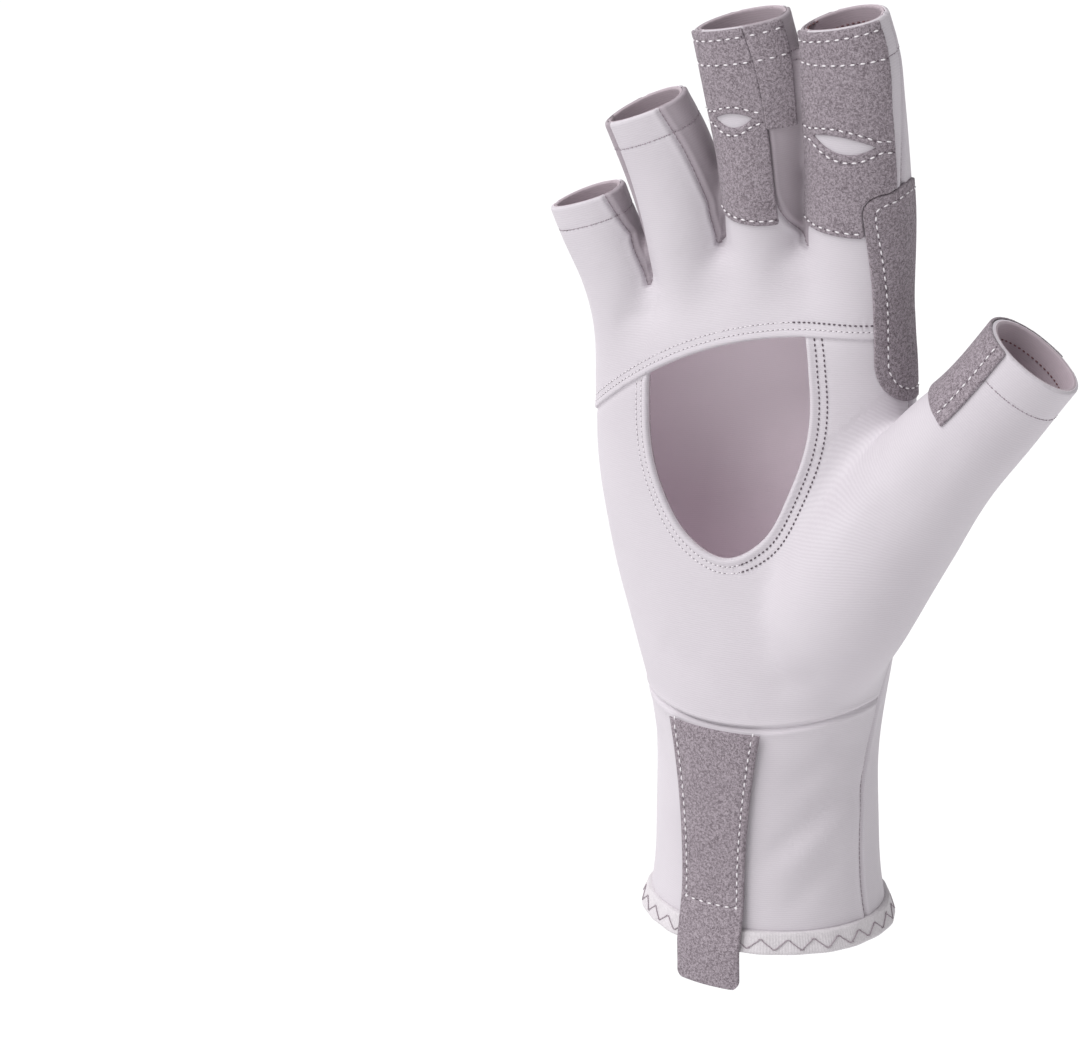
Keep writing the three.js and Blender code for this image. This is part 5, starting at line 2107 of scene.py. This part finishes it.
def courses_group():
    """Fine courses of knit along the piece, with a slow change of tone."""
    name = "Knit courses"
    if name in bpy.data.node_groups:
        return bpy.data.node_groups[name]
    group, into, out = group_with(
        name, {"Pitch": 0.0006, "Wander": 0.6, "Tone Size": 0.03}, ["Courses", "Tone"]
    )
    place = joint(group, "ShaderNodeTexCoord").outputs["Object"]
    along = joint(group, "ShaderNodeAttribute", attribute_name="course").outputs["Fac"]
    fine = {"Vector": place, "Scale": 900.0, "Detail": 1.0}
    noise = joint(group, "ShaderNodeTexNoise", fine).outputs["Fac"]
    count = maths(group, "DIVIDE", along, into["Pitch"])
    shaken = maths(group, "MULTIPLY_ADD", noise, into["Wander"], count)
    wave = maths(group, "SINE", maths(group, "MULTIPLY", shaken, 2 * math.pi))
    scale = maths(group, "DIVIDE", 1.0, into["Tone Size"])
    slow = {"Vector": place, "Scale": scale, "Detail": 3.0}
    feed(group, out, {
        "Courses": maths(group, "MULTIPLY_ADD", wave, 0.5, 0.5),
        "Tone": joint(group, "ShaderNodeTexNoise", slow).outputs["Fac"],
    })
    return group


def nap_group():
    """The short nap of suede: blotches, and fine fibres."""
    name = "Suede nap"
    if name in bpy.data.node_groups:
        return bpy.data.node_groups[name]
    group, into, out = group_with(
        name, {"Blotch": 0.0007, "Fibre": 0.00026}, ["Tone", "Height"]
    )
    place = joint(group, "ShaderNodeTexCoord").outputs["Object"]
    blotch, fibre = (
        joint(group, "ShaderNodeTexNoise", {
            "Vector": place,
            "Scale": maths(group, "DIVIDE", 1.0, into[label]),
            "Detail": 2.0,
            "Roughness": 0.65,
        }).outputs["Fac"]
        for label in ("Blotch", "Fibre")
    )
    both = maths(group, "MULTIPLY_ADD", blotch, 0.45, maths(group, "MULTIPLY", fibre, 0.55))
    span = {"Value": both, "From Min": 0.40, "From Max": 0.60}
    spread = joint(group, "ShaderNodeMapRange", span).outputs["Result"]
    feed(group, out, {"Tone": spread, "Height": fibre})
    return group


def started(name):
    """A new material with its tree and surface."""
    material = bpy.data.materials.new(name)
    material.use_nodes = True
    tree = material.node_tree
    return material, tree, tree.nodes["Principled BSDF"]


def blended(tree, factor, low, high):
    """A colour between two, by a factor."""
    inputs = {"Factor": factor, "A": low, "B": high}
    return joint(tree, "ShaderNodeMix", inputs, data_type="RGBA").outputs["Result"]


def raised(tree, surface, height, strength, depth):
    """Fine relief by a bump."""
    inputs = {"Height": height, "Strength": strength, "Distance": depth}
    feed(tree, surface, {"Normal": joint(tree, "ShaderNodeBump", inputs).outputs["Normal"]})


def knit_material(context, look):
    """Smooth knit cloth with fine courses."""
    name = {"knit": "light knit", "strip": "strip knit", "inside": "turned knit"}[look]
    if name in bpy.data.materials:
        return bpy.data.materials[name]
    colours = context.scene.glove_look
    material, tree, surface = started(name)
    knit = joint(tree, "ShaderNodeGroup", node_tree=courses_group()).outputs
    light = np.array(getattr(colours, look))
    # The colour falls to painted shade between the knit's courses, and drifts with a slow random
    # tone
    shade = np.array(colours.knit_course_shade) * light / np.array(colours.knit)
    slow = maths(tree, "MULTIPLY", knit["Tone"], 0.9)
    mixed = maths(tree, "MULTIPLY_ADD", knit["Courses"], 0.45, slow)
    tone = blended(tree, mixed, (*shade, 1), (*light, 1))
    # The inner shell of the light cloth takes the brightened reverse colour: painted light on the
    # glove's inside
    if look == "knit":
        inner = joint(tree, "ShaderNodeAttribute", attribute_name="inner").outputs["Fac"]
        tone = blended(tree, inner, tone, (*colours.reverse, 1))
    feed(tree, surface, {
        "Base Color": tone,
        "Roughness": 0.8,
        "Sheen Weight": 0.08,
        "Sheen Roughness": 0.5,
    })
    raised(tree, surface, knit["Courses"], 0.35, 0.00005)
    return material


def suede_material(context):
    """Suede with a mottled nap."""
    if "napped suede" in bpy.data.materials:
        return bpy.data.materials["napped suede"]
    colours = context.scene.glove_look
    material, tree, surface = started("napped suede")
    nap = joint(tree, "ShaderNodeGroup", node_tree=nap_group()).outputs
    feed(tree, surface, {
        "Base Color": blended(tree, nap["Tone"], (*colours.suede_low, 1), (*colours.suede, 1)),
        "Roughness": 0.95,
        "Specular IOR Level": 0.2,
        "Sheen Weight": 0.1,
        "Sheen Roughness": 0.4,
    })
    raised(tree, surface, nap["Height"], 0.7, 0.00025)
    return material


def tape_material(context):
    """Finely ribbed tape."""
    if "woven tape" in bpy.data.materials:
        return bpy.data.materials["woven tape"]
    light = np.array(context.scene.glove_look.tape)
    material, tree, surface = started("woven tape")
    nap = joint(tree, "ShaderNodeGroup", node_tree=nap_group()).outputs
    feed(tree, surface, {
        "Base Color": blended(tree, nap["Tone"], (*light * 0.86, 1), (*light, 1)),
        "Roughness": 0.7,
        "Sheen Weight": 0.15,
    })
    raised(tree, surface, nap["Height"], 0.3, 0.0001)
    return material


def thread_material(context, look):
    """Plain thread."""
    name = look.replace("_", " ") + " line"
    if name in bpy.data.materials:
        return bpy.data.materials[name]
    material, _, surface = started(name)
    surface.inputs["Base Color"].default_value = (*getattr(context.scene.glove_look, look), 1)
    surface.inputs["Roughness"].default_value = 0.6
    return material


# The photograph's camera: turn and height of its view in degrees, distance, focal length
# in pixels of the photograph, and the pixel that the aimed point falls on
VIEW = {
    "turn": 22.0,
    "rise": 20.0,
    "away": 1.1,
    "focal": 4074.0,
    "pixel": (815.0, 490.0),
    "size": (1080.0, 1050.0),
}
AIM = {"right": 0.01304, "up": 0.1241}

# Soft lamps far away: where each shines from, how wide it is seen in degrees, and strength
LAMPS = table(
    "name place wide power",
    ("key", (-0.42, -0.50, 0.755), 50.0, 2.6),
    ("rim", (-0.80, 0.45, 0.40), 40.0, 0.5),
)
SKY_POWER = 0.42

# A pale floor far below: half its size, its height and its colour
FLOOR = {"half": 60.0, "level": -0.3, "colour": (0.97, 0.97, 0.975, 1)}


def make_camera(scene):
    """The photograph's view, aimed so that the glove stands at the frame's right."""
    turn, rise = math.radians(VIEW["turn"]), math.radians(VIEW["rise"])
    right = Vector((math.cos(turn), math.sin(turn), 0))
    ahead = Vector((
        -math.sin(turn) * math.cos(rise),
        math.cos(turn) * math.cos(rise),
        -math.sin(rise),
    ))
    up = right.cross(ahead)
    place = right * AIM["right"] + Vector((0, 0, AIM["up"])) - ahead * VIEW["away"]
    wide, high = VIEW["size"]
    dx = (wide / 2 - VIEW["pixel"][0]) / VIEW["focal"]
    dy = (high / 2 - VIEW["pixel"][1]) / VIEW["focal"]
    forward = (ahead + right * dx - up * dy).normalized()
    swing = ahead.rotation_difference(forward)
    axes = Matrix((swing @ right, swing @ up, -forward)).transposed()
    data = bpy.data.cameras.new("camera")
    data.sensor_width = 36
    data.lens = VIEW["focal"] / wide * data.sensor_width
    data.clip_end = 20
    camera = bpy.data.objects.new("camera", data)
    camera.matrix_world = Matrix.Translation(place) @ axes.to_4x4()
    scene.collection.objects.link(camera)
    scene.camera = camera


def make_lamp(scene, row):
    """A far lamp that shines towards the glove."""
    name = row["name"]
    data = bpy.data.lights.new(name, "SUN")
    data.angle = math.radians(row["wide"])
    data.energy = row["power"]
    lamp = bpy.data.objects.new(name, data)
    place = Vector(row["place"])
    turn = (-place).to_track_quat("-Z", "Y").to_matrix().to_4x4()
    lamp.matrix_world = Matrix.Translation(place) @ turn
    scene.collection.objects.link(lamp)


class GLOVE_OT_stage(bpy.types.Operator):
    """Sets the floor, lamps, world and camera"""

    bl_idname = "glove.stage"
    bl_label = "Stage"

    def execute(self, context):
        scene = context.scene
        scene.view_settings.view_transform = "Standard"
        mesh = bpy.data.meshes.new("floor")
        half, level = FLOOR["half"], FLOOR["level"]
        corners = [(-half, -half), (half, -half), (half, half), (-half, half)]
        mesh.from_pydata([(x, y, level) for x, y in corners], [], [(0, 1, 2, 3)])
        floor = bpy.data.objects.new("floor", mesh)
        scene.collection.objects.link(floor)
        material, _, surface = started("floor")
        surface.inputs["Base Color"].default_value = FLOOR["colour"]
        surface.inputs["Roughness"].default_value = 0.95
        mesh.materials.append(material)
        world = bpy.data.worlds.new("studio")
        scene.world = world
        world.use_nodes = True
        background = world.node_tree.nodes["Background"]
        background.inputs["Color"].default_value = (1, 1, 1, 1)
        background.inputs["Strength"].default_value = SKY_POWER
        for row in LAMPS:
            make_lamp(scene, row)
        make_camera(scene)
        return {"FINISHED"}


class GLOVE_PT_panel(bpy.types.Panel):
    """Lists the steps"""

    bl_label = "Fishing glove"
    bl_idname = "GLOVE_PT_panel"
    bl_space_type = "VIEW_3D"
    bl_region_type = "UI"
    bl_category = "Glove"

    def draw(self, context):
        for step in STEPS:
            self.layout.operator(step.bl_idname)


GROUPS = [GloveForm, GloveCut, GloveSewing, GloveLook]
STEPS = [
    GLOVE_OT_cloth,
    GLOVE_OT_hems,
    GLOVE_OT_suede,
    GLOVE_OT_tab,
    GLOVE_OT_stitches,
    GLOVE_OT_stage,
]


def register():
    for kind in GROUPS + STEPS + [GLOVE_PT_panel]:
        bpy.utils.register_class(kind)
    bpy.types.Scene.glove_form = PointerProperty(type=GloveForm)
    bpy.types.Scene.glove_cut = PointerProperty(type=GloveCut)
    bpy.types.Scene.glove_sewing = PointerProperty(type=GloveSewing)
    bpy.types.Scene.glove_look = PointerProperty(type=GloveLook)


def unregister():
    del bpy.types.Scene.glove_look
    del bpy.types.Scene.glove_sewing
    del bpy.types.Scene.glove_cut
    del bpy.types.Scene.glove_form
    for kind in reversed(GROUPS + STEPS + [GLOVE_PT_panel]):
        bpy.utils.unregister_class(kind)


def main():
    register()
    bpy.ops.glove.cloth()
    bpy.ops.glove.hems()
    bpy.ops.glove.suede()
    bpy.ops.glove.tab()
    bpy.ops.glove.stitches()
    bpy.ops.glove.stage()


if __name__ == "__main__":
    main()
